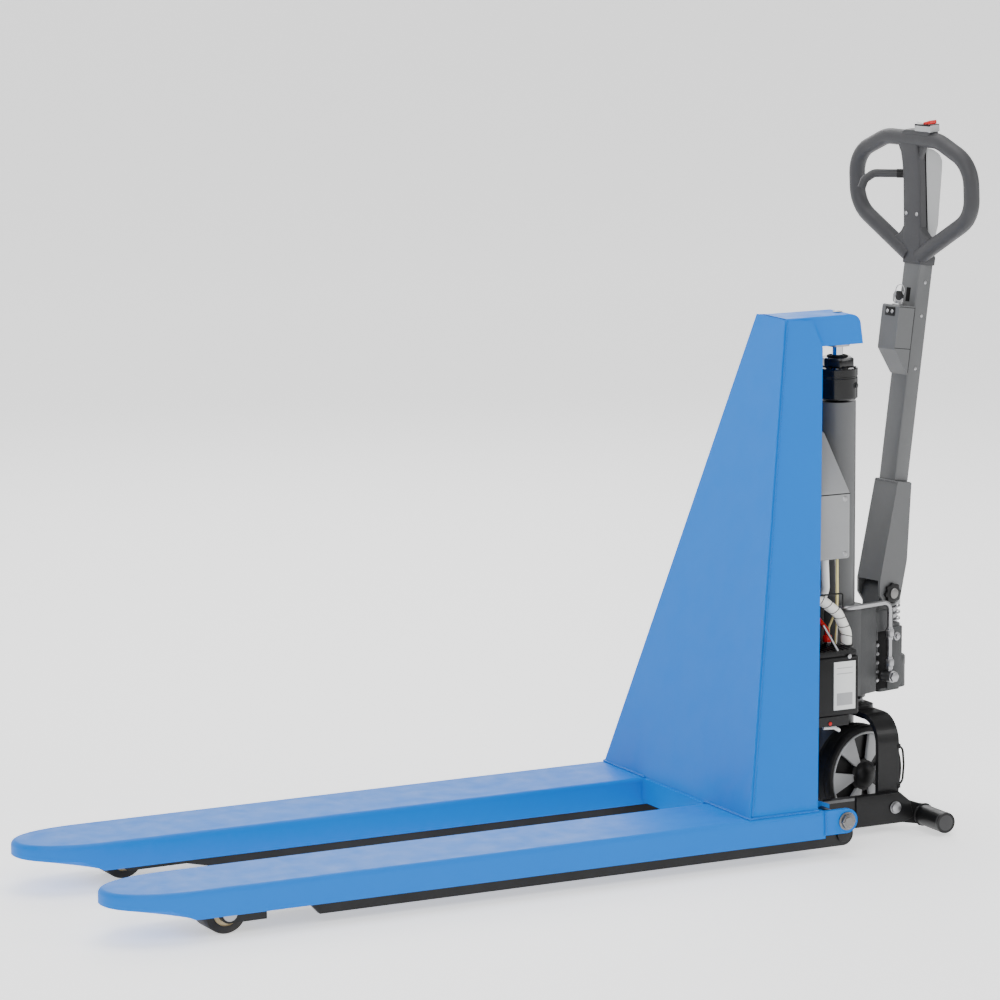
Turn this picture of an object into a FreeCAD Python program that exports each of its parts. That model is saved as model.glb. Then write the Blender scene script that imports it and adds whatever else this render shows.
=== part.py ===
import FreeCAD, Part
import math
import os
import Sketcher

# Electric high-lift pallet truck. Forks point to -X, the operator stands at +X, Z is up from the
# floor. "left" is the operator's left (-Y). Lengths are in mm.

os.makedirs("parts", exist_ok=True)
doc = FreeCAD.newDocument("pallet_truck")
V = FreeCAD.Vector

SIZES = {
    "origin_shift": 497.25, "fork_top": 85, "fork_outer": 270, "fork_inner": 110, "fork_tip": 1366,
    "sheet": 5, "skirt_bottom": 37, "blade_end": 43, "pivot_low": 37.5, "pivot_high": 63.5,
    "arm_reach": 1167, "cross_x": 583.5, "cross_z": 50.5, "pin_radius": 9, "cross_pin_radius": 10,
    "running_gap": 0.05, "roller_radius": 37.5, "roller_wide": 62, "roller_mid": 213,
    "small_roller_radius": 15.2, "tower_foot_x": 191, "tower_half_foot": 262, "tower_top": 915,
    "tower_lean": 12.96, "side_lean": 14.39, "tower_sheet": 6, "steer_x": 137, "tube_radius": 34,
    "tube_foot": 30, "tube_top": 761, "collar_radius": 37, "collar_top": 816.5, "rod_radius": 15,
    "rod_neck": 10, "wheel_radius": 90, "wheel_in": 38, "wheel_out": 83, "bar_in": 135, "bar_out": 147,
    "foot_x": 233.6, "foot_z": 23.4, "foot_radius": 18.6, "foot_out": 222, "arch_half": 135,
    "arch_top": 204, "arch_sheet": 10, "arch_front": 146, "arch_rear": 189, "pin_reach": 108,
    "pin_z": 400, "steer_turn": 12, "tiller_lean": 8.5, "head_lean": 2.5, "head_up": 600,
    "loop_half": 147, "loop_radius": 14.5, "deck_top": 221, "tie_high": 27.5, "tie_radius": 9,
}
sheet = doc.addObject("Spreadsheet::Sheet", "Sizes")
for row, (alias, number) in enumerate(SIZES.items(), 1):
    sheet.set("A%d" % row, alias)
    sheet.set("B%d" % row, str(number))
    sheet.setAlias("B%d" % row, alias)
doc.recompute()


class Dim:
    """A length with the spreadsheet formula it comes from."""

    def __init__(self, value, formula):
        self.value = float(value)
        self.formula = formula

    def join(self, other, sign, flip=False):
        other = dim(other)
        left, right = (other, self) if flip else (self, other)
        result = {"+": left.value + right.value, "-": left.value - right.value,
                  "*": left.value * right.value}.get(sign)
        if result is None:
            result = left.value / right.value
        return Dim(result, "(%s %s %s)" % (left.formula, sign, right.formula))

    def __add__(self, other):
        return self.join(other, "+")

    def __radd__(self, other):
        return self.join(other, "+", True)

    def __sub__(self, other):
        return self.join(other, "-")

    def __rsub__(self, other):
        return self.join(other, "-", True)

    def __mul__(self, other):
        return self.join(other, "*")

    def __rmul__(self, other):
        return self.join(other, "*", True)

    def __truediv__(self, other):
        return self.join(other, "/")

    def __neg__(self):
        return self.join(0, "-", True)


def dim(value):
    if isinstance(value, Dim):
        return value
    text = "%.4f" % value
    return Dim(value, text if value >= 0 else "(0 - %s)" % text[1:])


class Named:
    def __getattr__(self, alias):
        return Dim(SIZES[alias], "Sizes." + alias)


S = Named()
PARTS = []
ROTATE = {"x": FreeCAD.Rotation(V(0, 1, 0), 90), "y": FreeCAD.Rotation(V(1, 0, 0), -90),
          "z": FreeCAD.Rotation()}


def bind(item, path, value):
    item.setExpression(path, dim(value).formula)


def put(item, x, y, z):
    """Bind a feature's position to the sheet."""
    for axis, value in (("x", x), ("y", y), ("z", z)):
        bind(item, "Placement.Base." + axis, value)


def box(x, y, z, label="block"):
    """A block from (low, high) pairs."""
    item = doc.addObject("Part::Box", label)
    for name, (low, high) in (("Length", x), ("Width", y), ("Height", z)):
        bind(item, name, high - low)
    put(item, x[0], y[0], z[0])
    return item


def rod(axis, start, length, radius, label="rod"):
    """A cylinder that runs along an axis from a start point."""
    item = doc.addObject("Part::Cylinder", label)
    item.Placement = FreeCAD.Placement(V(), ROTATE[axis])
    bind(item, "Radius", radius)
    bind(item, "Height", length)
    put(item, *start)
    return item


def fuse(items, label="joined"):
    item = doc.addObject("Part::MultiFuse", label)
    item.Shapes = items
    item.Refine = True
    return item


def cut(base, tools, label="cut"):
    item = doc.addObject("Part::Cut", label)
    item.Base = base
    item.Tool = tools[0] if len(tools) == 1 else fuse(tools, "tools")
    item.Refine = True
    return item


def common(first, second, label="shared"):
    item = doc.addObject("Part::Common", label)
    item.Base = first
    item.Tool = second
    return item


def plate(plane, outline, low, high, label="plate", rounds=()):
    """A padded polygon. The plane is XZ, XY or YZ, low to high is its place along the third axis.

    rounds holds (corner number, radius) for corners with a fillet along the pad."""
    body = doc.addObject("PartDesign::Body", label)
    base = [face for face in body.Origin.OriginFeatures if face.Role == plane + "_Plane"][0]
    sketch = body.newObject("Sketcher::SketchObject", "outline")
    sketch.AttachmentSupport = [(base, "")]
    sketch.MapMode = "FlatFace"
    turn = -1 if plane == "XZ" else 1
    corners = [(dim(a), dim(b)) for a, b in outline]
    count = len(corners)
    for number in range(count):
        first, second = corners[number], corners[(number + 1) % count]
        sketch.addGeometry(Part.LineSegment(V(first[0].value, first[1].value, 0),
                                            V(second[0].value, second[1].value, 0)), False)
    for number in range(count):
        sketch.addConstraint(Sketcher.Constraint("Coincident", number, 2, (number + 1) % count, 1))
    for number, corner in enumerate(corners):
        for kind, size in (("DistanceX", corner[0]), ("DistanceY", corner[1])):
            place = sketch.addConstraint(
                Sketcher.Constraint(kind, -1, 1, number, 1, size.value))
            sketch.setExpression("Constraints[%d]" % place, size.formula)
    offset = high if plane == "XZ" else low
    sketch.setExpression("AttachmentOffset.Base.z", (dim(offset) * turn).formula)
    pad = body.newObject("PartDesign::Pad", "pad")
    pad.Profile = sketch
    bind(pad, "Length", high - low)
    body.Tip = pad
    if rounds:
        doc.recompute()
        for corner, radius in rounds:
            spot = corners[corner]
            last = body.Tip
            edges = []
            for index, edge in enumerate(last.Shape.Edges, 1):
                middle = edge.CenterOfMass
                flat = {"XZ": (middle.x, middle.z), "XY": (middle.x, middle.y),
                        "YZ": (middle.y, middle.z)}[plane]
                near = math.hypot(flat[0] - spot[0].value, flat[1] - spot[1].value) < 0.01
                if near and len(edge.Vertexes) == 2 and edge.Length > 0.5:
                    edges.append("Edge%d" % index)
            rounding = body.newObject("PartDesign::Fillet", "round")
            rounding.Base = (last, edges)
            bind(rounding, "Radius", radius)
            body.Tip = rounding
            doc.recompute()
    return body


def mirror(source, label):
    item = doc.addObject("Part::Mirroring", label)
    item.Source = source
    item.Normal = V(0, 1, 0)
    item.Base = V()
    return item


def run_of(points, bend):
    """Straight runs joined by tangent arcs of one radius."""
    edges = []
    here = V(*points[0])
    for before, corner, after in zip(points, points[1:], points[2:]):
        corner = V(*corner)
        back = (V(*before) - corner).normalize()
        ahead = (V(*after) - corner).normalize()
        half = math.acos(max(-1, min(1, back.dot(ahead)))) / 2
        reach = bend / math.tan(half)
        middle = (back + ahead).normalize()
        centre = corner + middle * (bend / math.sin(half))
        start, end = corner + back * reach, corner + ahead * reach
        edges.append(Part.makeLine(here, start))
        edges.append(Part.Arc(start, centre - middle * bend, end).toShape())
        here = end
    edges.append(Part.makeLine(here, V(*points[-1])))
    return Part.Wire(edges)


def tube_along(label, points, bend, radius):
    """A round bar swept along straight runs and tangent arcs."""
    path = run_of(points, bend)
    start = V(*points[0])
    ring = Part.Wire([Part.makeCircle(radius, start, V(*points[1]) - start)])
    item = doc.addObject("Part::Feature", label)
    item.Shape = path.makePipeShell([ring], True, False)
    print(label, "bend radius", bend, "length %.1f" % path.Length)
    return item


def keep(item, name, place="truck"):
    """Name a finished part and set its frame: truck, steer, tiller or head."""
    if item.isDerivedFrom("Part::Box") or item.isDerivedFrom("Part::Cylinder"):
        holder = doc.addObject("Part::Compound", "held")
        holder.Links = [item]
        item = holder
    item.Label = name
    PARTS.append((item, name, place))
    return item


def pair(item, name):
    """Keep a left part and its mirrored right one."""
    left = keep(item, name + "_left")
    keep(mirror(left, name + "_right"), name + "_right")


# ---- forks and tower -------------------------------------------------------------------------
outer, inner, top = -S.fork_outer, -S.fork_inner, S.fork_top
tip = -S.fork_tip
section = plate("YZ", [(outer, 30), (inner, 30), (inner, top), (outer, top)], tip, -S.blade_end,
                rounds=[(2, 9), (3, 9)])
side = plate("XZ", [(-S.blade_end + 5, S.skirt_bottom), (-S.blade_end + 5, top + 5),
                    (tip + 14, top + 5), (tip + 14, top), (tip + 3, top - 4), (tip, top - 11),
                    (tip, top - 25), (tip + 93, top - 30), (tip + 134, S.skirt_bottom)],
             outer - 5, inner + 5)
nose = []
for step in range(13):
    angle = math.pi * step / 12
    forward = round(abs(math.sin(angle)) ** 0.9, 4)
    aside = round(math.copysign(abs(math.cos(angle)) ** 0.9, math.cos(angle)), 4)
    nose.append((tip + 150 - 150 * forward, (outer + inner) / 2 + (inner - outer) / 2 * aside))
plan = plate("XY", [(-S.blade_end + 5, outer - 5), (-S.blade_end + 5, inner + 5), (tip + 150, inner + 5)]
             + nose + [(tip + 150, outer - 5)], 20, 100)
hollow = plate("YZ", [(outer + S.sheet, 20), (inner - S.sheet, 20), (inner - S.sheet, top - S.sheet),
                      (outer + S.sheet, top - S.sheet)], tip + 134, -S.blade_end + 10,
               rounds=[(2, 4), (3, 4)])
blade = cut(common(common(section, side), plan), [hollow])
heel_zone = box((-S.tower_foot_x, dim(0)), (outer - 5, inner + 5), (dim(20), dim(100)))
pair(cut(blade, [heel_zone]), "fork")

lug = plate("XZ", [(-S.blade_end, 42), (0, 42), (0, top), (-S.blade_end, top)], outer, outer + 8)
eye = rod("y", (0, outer, S.pivot_high), 8, 21.5)
bore = rod("y", (0, outer - 1, S.pivot_high), 12, S.pin_radius + S.running_gap)
pair(cut(fuse([lug, eye]), [bore]), "heel_lug")
stay = plate("XZ", [(-S.blade_end - 40, top - S.sheet), (-S.blade_end - 40, top - 14), (-20, 48),
                    (0, 48), (16, 54), (16, 74), (0, top - S.sheet)], -184, -176)
bore = rod("y", (0, -190, S.pivot_high), 20, S.pin_radius + S.running_gap)
pair(cut(fuse([common(blade, heel_zone), stay]), [bore]), "fork_heel")
shank = rod("y", (0, outer - 2, S.pivot_high), 120.5, S.pin_radius)
washer = rod("y", (0, outer - 2, S.pivot_high), 2, 19)
head = rod("y", (0, outer - 10, S.pivot_high), 8, 15.5)
slot = box((-16, 16), (outer - 11, outer - 7), (S.pivot_high - 1.5, S.pivot_high + 1.5))
pair(cut(fuse([shank, washer, head]), [slot]), "heel_pin")
keep(box((-S.tower_foot_x - 6, dim(-S.tower_foot_x)), (inner, -inner), (dim(42), top)), "cross_panel")

foot_cut = box((-320, 200), (-400, 400), (top - 60, top))
half = S.tower_half_foot
front = plate("YZ", [(-half - 7.9, -30), (half + 7.9, -30), (49, 851.7), (-49, 851.7)], 0, S.tower_sheet)
front.Placement = FreeCAD.Placement(V(), FreeCAD.Rotation(V(0, 1, 0), SIZES["tower_lean"]))
put(front, -S.tower_foot_x, 0, top)
keep(cut(front, [foot_cut]), "tower_front")
side_plate = plate("XZ", [(-S.tower_foot_x + 6.3 - 6.9, -30), (-54 - 4.8, -30), (-54, 0), (70, 803), (56, 852),
                          (6.6, 856)], 0, S.tower_sheet)
side_plate.Placement = FreeCAD.Placement(V(), FreeCAD.Rotation(V(1, 0, 0), -SIZES["side_lean"]))
put(side_plate, 0, -half + 0.3, top)
side_cut = box((-320, 200), (-400, 0), (top - 60, top))
pair(cut(side_plate, [side_cut]), "tower_side")
cap = plate("YZ", [(-53, 864), (53, 864), (41, S.tower_top), (-41, S.tower_top)], 8, 158,
            rounds=[(2, 6), (3, 6)])
rounding = plate("XZ", [(0, 860), (158, 860), (158, S.tower_top), (0, S.tower_top)], -60, 60,
                 rounds=[(2, 16)])
keep(common(cap, rounding), "tower_cap")
shaft = rod("z", (S.steer_x, 0, 46), 790, S.rod_radius)
neck = rod("z", (S.steer_x, 0, 836), 28, S.rod_neck)
keep(fuse([shaft, neck]), "lift_rod")

# ---- scissor arms ----------------------------------------------------------------------------
low, high, reach = S.pivot_low, S.pivot_high, S.arm_reach
long_pin = S.pin_radius + S.running_gap


def bores(y_low, y_high, spots):
    return [rod("y", (x, y_low - 2, z), y_high - y_low + 4, radius) for x, z, radius in spots]


cheek = plate("XZ", [(0, low - 20), (-1005, low - 20), (-1030, 44), (-1030, 72), (-60, 72), (-20, 50.5),
                     (0, 50.5)], -258, -248)
lobe = rod("y", (0, -258, low), 10, 20)
clear = box((-22, 30), (-260, -240), (50.5, 70))
pair(cut(fuse([cheek, lobe]), [clear] + bores(-258, -248, [(0, low, long_pin),
                                                           (-S.cross_x, S.cross_z, S.cross_pin_radius)])),
     "outer_cheek")
cheek = plate("XZ", [(0, low - 20), (-1020, low - 20), (-reach, high - 14), (-reach, high + 14),
                     (-1010, 72), (-60, 72), (-10, low + 18)], -127, -117)
web = box((-1010, -960), (-248, -127), (dim(73), dim(77)))
riser = box((-1010, -960), (-127, -117), (dim(60), dim(77)))
stub = rod("y", (-reach, -148, high), 31, 6)
nose = rod("y", (-reach, -127, high), 10, 14)
lobe = rod("y", (0, -127, low), 10, 20)
pair(cut(fuse([cheek, web, riser, stub, nose, lobe]),
         bores(-127, -117, [(0, low, long_pin), (-S.cross_x, S.cross_z, S.cross_pin_radius)])
         + [rod("y", (-110, -119, S.tie_high), 3, S.tie_radius)]), "inner_cheek")
keep(rod("y", (-110, -119, S.tie_high), 238, S.tie_radius), "arm_tie")
pair(rod("y", (-S.cross_x, -259, S.cross_z), 142.5, S.cross_pin_radius), "cross_pin")

arm = plate("XZ", [(0, 50), (-15, 50), (-112, 23), (-1100, 21), (-reach, low - 17), (-reach, low + 17),
                   (-1100, 62), (-50, 74), (0, high + 18)], -168, -152)
eye = rod("y", (0, -168, high), 16, 18)
clear = box((-14, 30), (-170, -150), (40, 50))
nose = rod("y", (-reach, -168, low), 16, 17)
back = box((-1112, -1100), (-256, -168), (21, 66))
yoke_in = plate("XZ", [(-1112, 21), (-reach, low - 17), (-reach, low + 17), (-1112, 62)], -178, -168)
yoke_out = plate("XZ", [(-1112, 21), (-reach, low - 17), (-reach, low + 17), (-1112, 62)], -256, -248)
ends = [rod("y", (-reach, y, low), wide, 17) for y, wide in ((-178, 10), (-256, 8))]
pair(cut(fuse([arm, eye, nose, back, yoke_in, yoke_out] + ends),
         [clear] + bores(-256, -152, [(0, high, long_pin), (-reach, low, long_pin),
                                      (-S.cross_x, S.cross_z, S.cross_pin_radius + S.running_gap)])),
     "roller_arm")
pair(rod("y", (-reach, -257, low), 104, S.pin_radius), "roller_axle")
tread = rod("y", (-reach, -S.roller_mid - S.roller_wide / 2, low), S.roller_wide, S.roller_radius)
pair(cut(tread, bores(-246, -180, [(-reach, low, long_pin)])), "load_roller")
tread = rod("y", (-reach, -146, high), 17, S.small_roller_radius)
pair(cut(tread, bores(-146, -129, [(-reach, high, 6.05)])), "track_roller")

# ---- chassis ---------------------------------------------------------------------------------
bar = plate("XZ", [(-18, 20), (-12, 14), (190, 14), (S.foot_x, S.foot_z - 18), (S.foot_x + 16, 36),
                   (205, 52), (183, 70), (-10, 70), (-18, 62)], -S.bar_out, -S.bar_in)
eye = rod("y", (S.foot_x, -S.foot_out, S.foot_z), S.foot_out - S.bar_in, S.foot_radius)
bolt = rod("y", (172, -S.bar_out - 5, 44), 6, 11)
pair(cut(fuse([bar, eye, bolt]), bores(-147, -135, [(0, low, S.pin_radius)])), "side_bar")
keep(rod("y", (0, -259.5, low), 519, S.pin_radius), "scissor_shaft")
half, thick = S.arch_half, S.arch_sheet
arch = plate("YZ", [(-half, 18), (-half, S.arch_top), (half, S.arch_top), (half, 18), (half - thick, 18),
                    (half - thick, S.arch_top - thick), (thick - half, S.arch_top - thick),
                    (thick - half, 18)], S.arch_front, S.arch_rear,
             rounds=[(1, 50), (2, 50), (5, 40), (6, 40)])
hole = rod("z", (S.steer_x, 0, 180), 40, 40)
keep(cut(arch, [hole]), "wheel_arch")
seat = plate("XY", [(75, -60), (S.arch_rear, -60), (S.arch_rear, 60), (75, 60)], S.arch_top, S.arch_top + 8,
             rounds=[(1, 20), (2, 20)])
ring = rod("z", (S.steer_x, 0, S.arch_top + 8), 10, 48)
hole = rod("z", (S.steer_x, 0, 190), 60, S.tube_radius + S.running_gap)
keep(cut(fuse([seat, ring]), [hole]), "bearing_plate")
deck = box((-38, 75), (-150, 150), (S.arch_top, S.deck_top - 7))
leg = [box((-12, -4), (y, y + 12), (dim(70), dim(S.arch_top))) for y in (-147, 135)]
lip = box((-38, 75), (-150, -147), (S.arch_top, S.deck_top))
keep(fuse([deck, lip] + leg), "deck")
case = plate("XY", [(-8, -150), (96, -150), (96, -78), (-8, -78)], S.deck_top - 7, 337,
             rounds=[(0, 5), (1, 5), (2, 5), (3, 5)])
keep(cut(case, [lip]), "charger_box")
keep(plate("XY", [(-38, -70), (72, -70), (72, 70), (-38, 70)], S.deck_top - 7, 492.8,
           rounds=[(0, 6), (1, 6), (2, 6), (3, 6)]), "battery_pack")
keep(plate("YZ", [(-112, 493), (112, 493), (112, 611), (22, 707), (-22, 707), (-112, 611)], -28, 99,
           rounds=[(1, 6), (4, 6), (2, 8), (5, 8), (3, 14)]), "power_cover")
harness = [(-2, -115, 337), (-2, -115, 424), (36, -115, 426), (72, -115, 398), (90, -115, 362), (90, -115, 337)]
keep(tube_along("harness", harness, 24, 10), "harness_loop")
keep(tube_along("wire", [(86, -88, 493), (86, -88, 400), (70, -88, 368), (70, -88, 337)], 20, 2.2),
     "signal_wire")
keep(tube_along("cable", [(189, -129, 152), (200, -129, 152), (200, -129, 76), (189, -129, 76)], 9, 2),
     "arch_cable")

# ---- steering unit, local frame on the lift cylinder axis ---------------------------------------
tube = rod("z", (0, 0, S.tube_foot), S.tube_top - S.tube_foot, S.tube_radius)
collar = rod("z", (0, 0, S.tube_top), S.collar_top - S.tube_top, S.collar_radius)
bore = rod("z", (0, 0, 42), 800, S.rod_radius + S.running_gap)
keep(cut(fuse([tube, collar]), [bore]), "lift_cylinder", "steer")
nut = doc.addObject("Part::Prism", "nut")
nut.Polygon = 6
nut.Circumradius = 31.5
bind(nut, "Height", 19)
put(nut, 0, 0, S.collar_top)
bore = rod("z", (0, 0, 800), 60, S.rod_radius + S.running_gap)
keep(cut(nut, [bore]), "gland_nut", "steer")
ring = rod("z", (0, 0, 68), 44, 36.8)
axle = rod("y", (0, -85, S.wheel_radius), 170, 10)
hole = rod("z", (0, 0, 60), 60, S.tube_radius)
keep(cut(fuse([ring, axle]), [hole]), "axle_carrier", "steer")
sleeve = rod("z", (0, 0, 222.6), 162.4, 54)
web = box((30, 84), (-25, 25), (240, 350))
block = plate("XY", [(72, -38), (126, -38), (126, 38), (72, 38)], 224, 345,
              rounds=[(0, 6), (1, 8), (2, 8), (3, 6)])
lug = box((S.pin_reach - 22, S.pin_reach + 10), (-22, 22), (300, S.pin_z))
eye = rod("y", (S.pin_reach, -22, S.pin_z), 44, 22)
cup = rod("z", (139, 0, 222.6), 55, 24)
well = rod("z", (139, 0, 262), 200, 16.6)
bore = rod("z", (139, 0, 228), 60, 9.05)
tube_hole = rod("z", (0, 0, 200), 300, S.tube_radius)
pin_hole = rod("y", (S.pin_reach, -40, S.pin_z), 80, 10.05)
keep(cut(fuse([sleeve, web, block, lug, eye, cup]), [well, bore, tube_hole, pin_hole]),
     "pump_housing", "steer")
keep(tube_along("pipe", [(0, -54, 392), (48, -60, 392), (76, -60, 366), (76, -60, 257), (76, -46, 257)],
                11, 4.5), "pressure_pipe", "steer")
stem = rod("z", (139, 0, 256), 118, 9)
button = rod("z", (139, 0, 374), 6, 15)
keep(fuse([stem, button]), "pump_plunger", "steer")
coil = doc.addObject("Part::Helix", "coil")
coil.Pitch = 11.6
coil.Height = 104
coil.Radius = 13.2
put(coil, 139, 0, 266.5)
ring = doc.addObject("Part::Circle", "wire")
ring.Radius = 2
ring.Placement = FreeCAD.Placement(V(139 + 13.2, 0, 266.5), FreeCAD.Rotation(V(1, 0, 0), 90))
spring = doc.addObject("Part::Sweep", "spring")
spring.Sections = [ring]
spring.Spine = (coil, ["Edge1"])
spring.Solid = True
spring.Frenet = True
keep(spring, "pump_spring", "steer")
core = rod("y", (0, -S.wheel_out, S.wheel_radius), S.wheel_out - S.wheel_in, S.wheel_radius)
dish = cut(rod("y", (0, -S.wheel_out - 1, S.wheel_radius), 11, 70),
           [rod("y", (0, -S.wheel_out - 2, S.wheel_radius), 30, 24)])
bore = rod("y", (0, -S.wheel_out - 2, S.wheel_radius), 50, 10.05)
keep(cut(core, [dish, bore]), "steer_wheel_left", "steer")
core = rod("y", (0, S.wheel_in, S.wheel_radius), S.wheel_out - S.wheel_in, S.wheel_radius)
dish = cut(rod("y", (0, S.wheel_out - 10, S.wheel_radius), 11, 70),
           [rod("y", (0, S.wheel_out - 20, S.wheel_radius), 30, 24)])
bore = rod("y", (0, S.wheel_in - 2, S.wheel_radius), 50, 10.05)
keep(cut(core, [dish, bore]), "steer_wheel_right", "steer")

# ---- tiller, local frame on the tilt pin with Z along the tube ------------------------------------
keep(rod("y", (0, -36, 0), 72, 10), "tilt_pin", "tiller")
sides = [plate("XZ", [(-27, -6), (-9, -24), (9, -24), (24, -10), (30, 60), (19, 200), (-15, 200),
                      (-31, 20)], low_y, low_y + 5) for low_y in (-30, 25)]
face = plate("XZ", [(-31, 20), (-26, 20), (-10, 200), (-15, 200)], -25, 25)
bores_here = rod("y", (0, -40, 0), 80, 10)
keep(cut(fuse(sides + [face]), [bores_here]), "tiller_bracket", "tiller")
tube = box((-15, 19), (-21, 21), (dim(200), dim(588)))
foot = plate("XZ", [(-9, 172), (19, 172), (19, 200), (-9, 200)], -25, 25)
sleeve = box((-17, 21), (-23, 23), (dim(588), dim(600)))
keep(fuse([tube, foot, sleeve]), "tiller_tube", "tiller")
keep(plate("XZ", [(-15, 392), (-15, 515), (-54, 515), (-54, 436)], -22, 22,
           rounds=[(2, 4), (3, 6)]), "control_box", "tiller")
barrel = rod("z", (-36, 0, 515), 6, 8)
blade = box((-37.2, -34.8), (-9, 9), (dim(521), dim(540)))
keep(fuse([barrel, blade]), "key", "tiller")

# ---- handle, local frame on top of the tube -----------------------------------------------------
wide = SIZES["loop_half"]
loop_points = [(-7, 24, 8), (-7, wide, 88), (-7, wide, 180), (-7, 70, 218), (-7, -70, 218),
               (-7, -wide, 180), (-7, -wide, 88), (-7, -24, 8)]
keep(tube_along("loop", loop_points, 32, SIZES["loop_radius"]), "handle_loop", "head")
loop_room = tube_along("loop_room", loop_points, 32, SIZES["loop_radius"])
spine = plate("XZ", [(-6, 1.3), (18, -3.4), (30, 60), (46, 176), (28, 196), (-16, 212), (-14, 226), (-24, 222),
                     (-24, 200), (-5, 166)], -24, 24, rounds=[(3, 9)])
keep(cut(spine, [loop_room]), "handle_head", "head")
pod = plate("YZ", [(-64, 221), (22, 221), (22, 240), (-12, 240), (-16, 246), (-58, 246), (-64, 240)],
            -24, 10)
keep(cut(pod, [loop_room, spine]), "switch_pod", "head")
blade = plate("YZ", [(-54, 249), (-37, 247.2), (-20, 249), (-21, 253), (-37, 251), (-53, 255.5)], -17, 3)
nose = rod("x", (-17, -37, 248.6), 20, 2.2)
keep(fuse([blade, nose]), "rocker_switch", "head")
stalk = rod("y", (8, 24.4, 150), 14, 7)
lever = plate("XY", [(2, 32), (14, 32), (10, 42), (-40, 84), (-52, 84), (-54, 76)], 146, 154,
              rounds=[(3, 3), (4, 5)])
tab = plate("XY", [(-40, 84), (-52, 84), (-54, 76), (-42, 74)], 126, 150)
keep(fuse([stalk, lever, tab]), "lowering_lever", "head")

# ---- frames and files ---------------------------------------------------------------------------
about_z = FreeCAD.Rotation(V(0, 0, 1), SIZES["steer_turn"])
reach_out = "(%s * cos(Sizes.steer_turn * 1 deg))"
reach_side = "(%s * sin(Sizes.steer_turn * 1 deg))"
far = "(Sizes.pin_reach + Sizes.head_up * sin(Sizes.tiller_lean * 1 deg))"
base_x = "Sizes.origin_shift + Sizes.steer_x + "
FRAMES = {
    "truck": (FreeCAD.Rotation(), "Sizes.origin_shift", "0", "0"),
    "steer": (about_z, "Sizes.origin_shift + Sizes.steer_x", "0", "0"),
    "tiller": (about_z * FreeCAD.Rotation(V(0, 1, 0), SIZES["tiller_lean"]),
               base_x + reach_out % "Sizes.pin_reach", reach_side % "Sizes.pin_reach", "Sizes.pin_z"),
    "head": (about_z * FreeCAD.Rotation(V(0, 1, 0), -SIZES["head_lean"]),
             base_x + reach_out % far, reach_side % far,
             "Sizes.pin_z + Sizes.head_up * cos(Sizes.tiller_lean * 1 deg)"),
}
doc.recompute()
whole = FreeCAD.BoundBox()
for item, name, place in PARTS:
    rotation, *spots = FRAMES[place]
    if item.isDerivedFrom("Part::Mirroring"):
        spots = ["0", "0", "0"]
    item.Placement = FreeCAD.Placement(V(), rotation)
    for axis, formula in zip("xyz", spots):
        item.setExpression("Placement.Base." + axis, formula)
    doc.recompute()
    shape = item.Shape
    bad = [state for state in item.State if state in ("Invalid", "Error")]
    if bad or shape.isNull() or not shape.isValid() or len(shape.Solids) != 1:
        raise RuntimeError("%s did not build: %s" % (name, item.State))
    shape = shape.Solids[0]
    whole.add(shape.BoundBox)
    print("%-18s x %.1f %.1f  y %.1f %.1f  z %.1f %.1f" % (
        name, shape.BoundBox.XMin, shape.BoundBox.XMax, shape.BoundBox.YMin, shape.BoundBox.YMax,
        shape.BoundBox.ZMin, shape.BoundBox.ZMax))
    shape.exportStep("parts/%s.step" % name)
for item in doc.Objects:
    if "Invalid" in item.State or "Error" in item.State:
        print("state", item.Label, item.State)
print(len(PARTS), "parts")
print("box %.2f %.2f %.2f to %.2f %.2f %.2f" % (whole.XMin, whole.YMin, whole.ZMin,
                                              whole.XMax, whole.YMax, whole.ZMax))
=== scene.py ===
"""Looks of an electric high-lift pallet truck, built around its packed CAD frame.

Shapes are written in millimetres in four local places: truck (heel bolt at x 0), steer (lift
cylinder axis), tiller (tilt pin, Z along the tube) and head (top of the tube)."""
import math

import bmesh
import bpy
from bpy.props import FloatProperty, IntProperty, PointerProperty
from mathutils import Matrix, Vector


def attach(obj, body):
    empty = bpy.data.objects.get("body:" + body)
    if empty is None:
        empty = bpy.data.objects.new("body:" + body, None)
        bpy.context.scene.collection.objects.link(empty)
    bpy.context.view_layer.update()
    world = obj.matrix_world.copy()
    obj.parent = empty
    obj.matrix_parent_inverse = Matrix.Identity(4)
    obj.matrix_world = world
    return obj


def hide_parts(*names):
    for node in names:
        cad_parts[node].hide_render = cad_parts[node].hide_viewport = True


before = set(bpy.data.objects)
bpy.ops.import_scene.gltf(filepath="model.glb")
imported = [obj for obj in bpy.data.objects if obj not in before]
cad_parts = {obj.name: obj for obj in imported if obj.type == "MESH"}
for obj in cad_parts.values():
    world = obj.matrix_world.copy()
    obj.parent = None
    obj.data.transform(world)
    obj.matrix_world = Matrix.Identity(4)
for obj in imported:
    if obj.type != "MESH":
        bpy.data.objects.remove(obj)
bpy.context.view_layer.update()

bl_info = {
    "name": "Pallet truck looks",
    "version": (1, 0, 0),
    "blender": (4, 5, 0),
    "location": "View3D > Sidebar > Pallet truck",
    "description": "Builds the visible pieces and materials of a high-lift pallet truck",
    "category": "Object",
}

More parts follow.
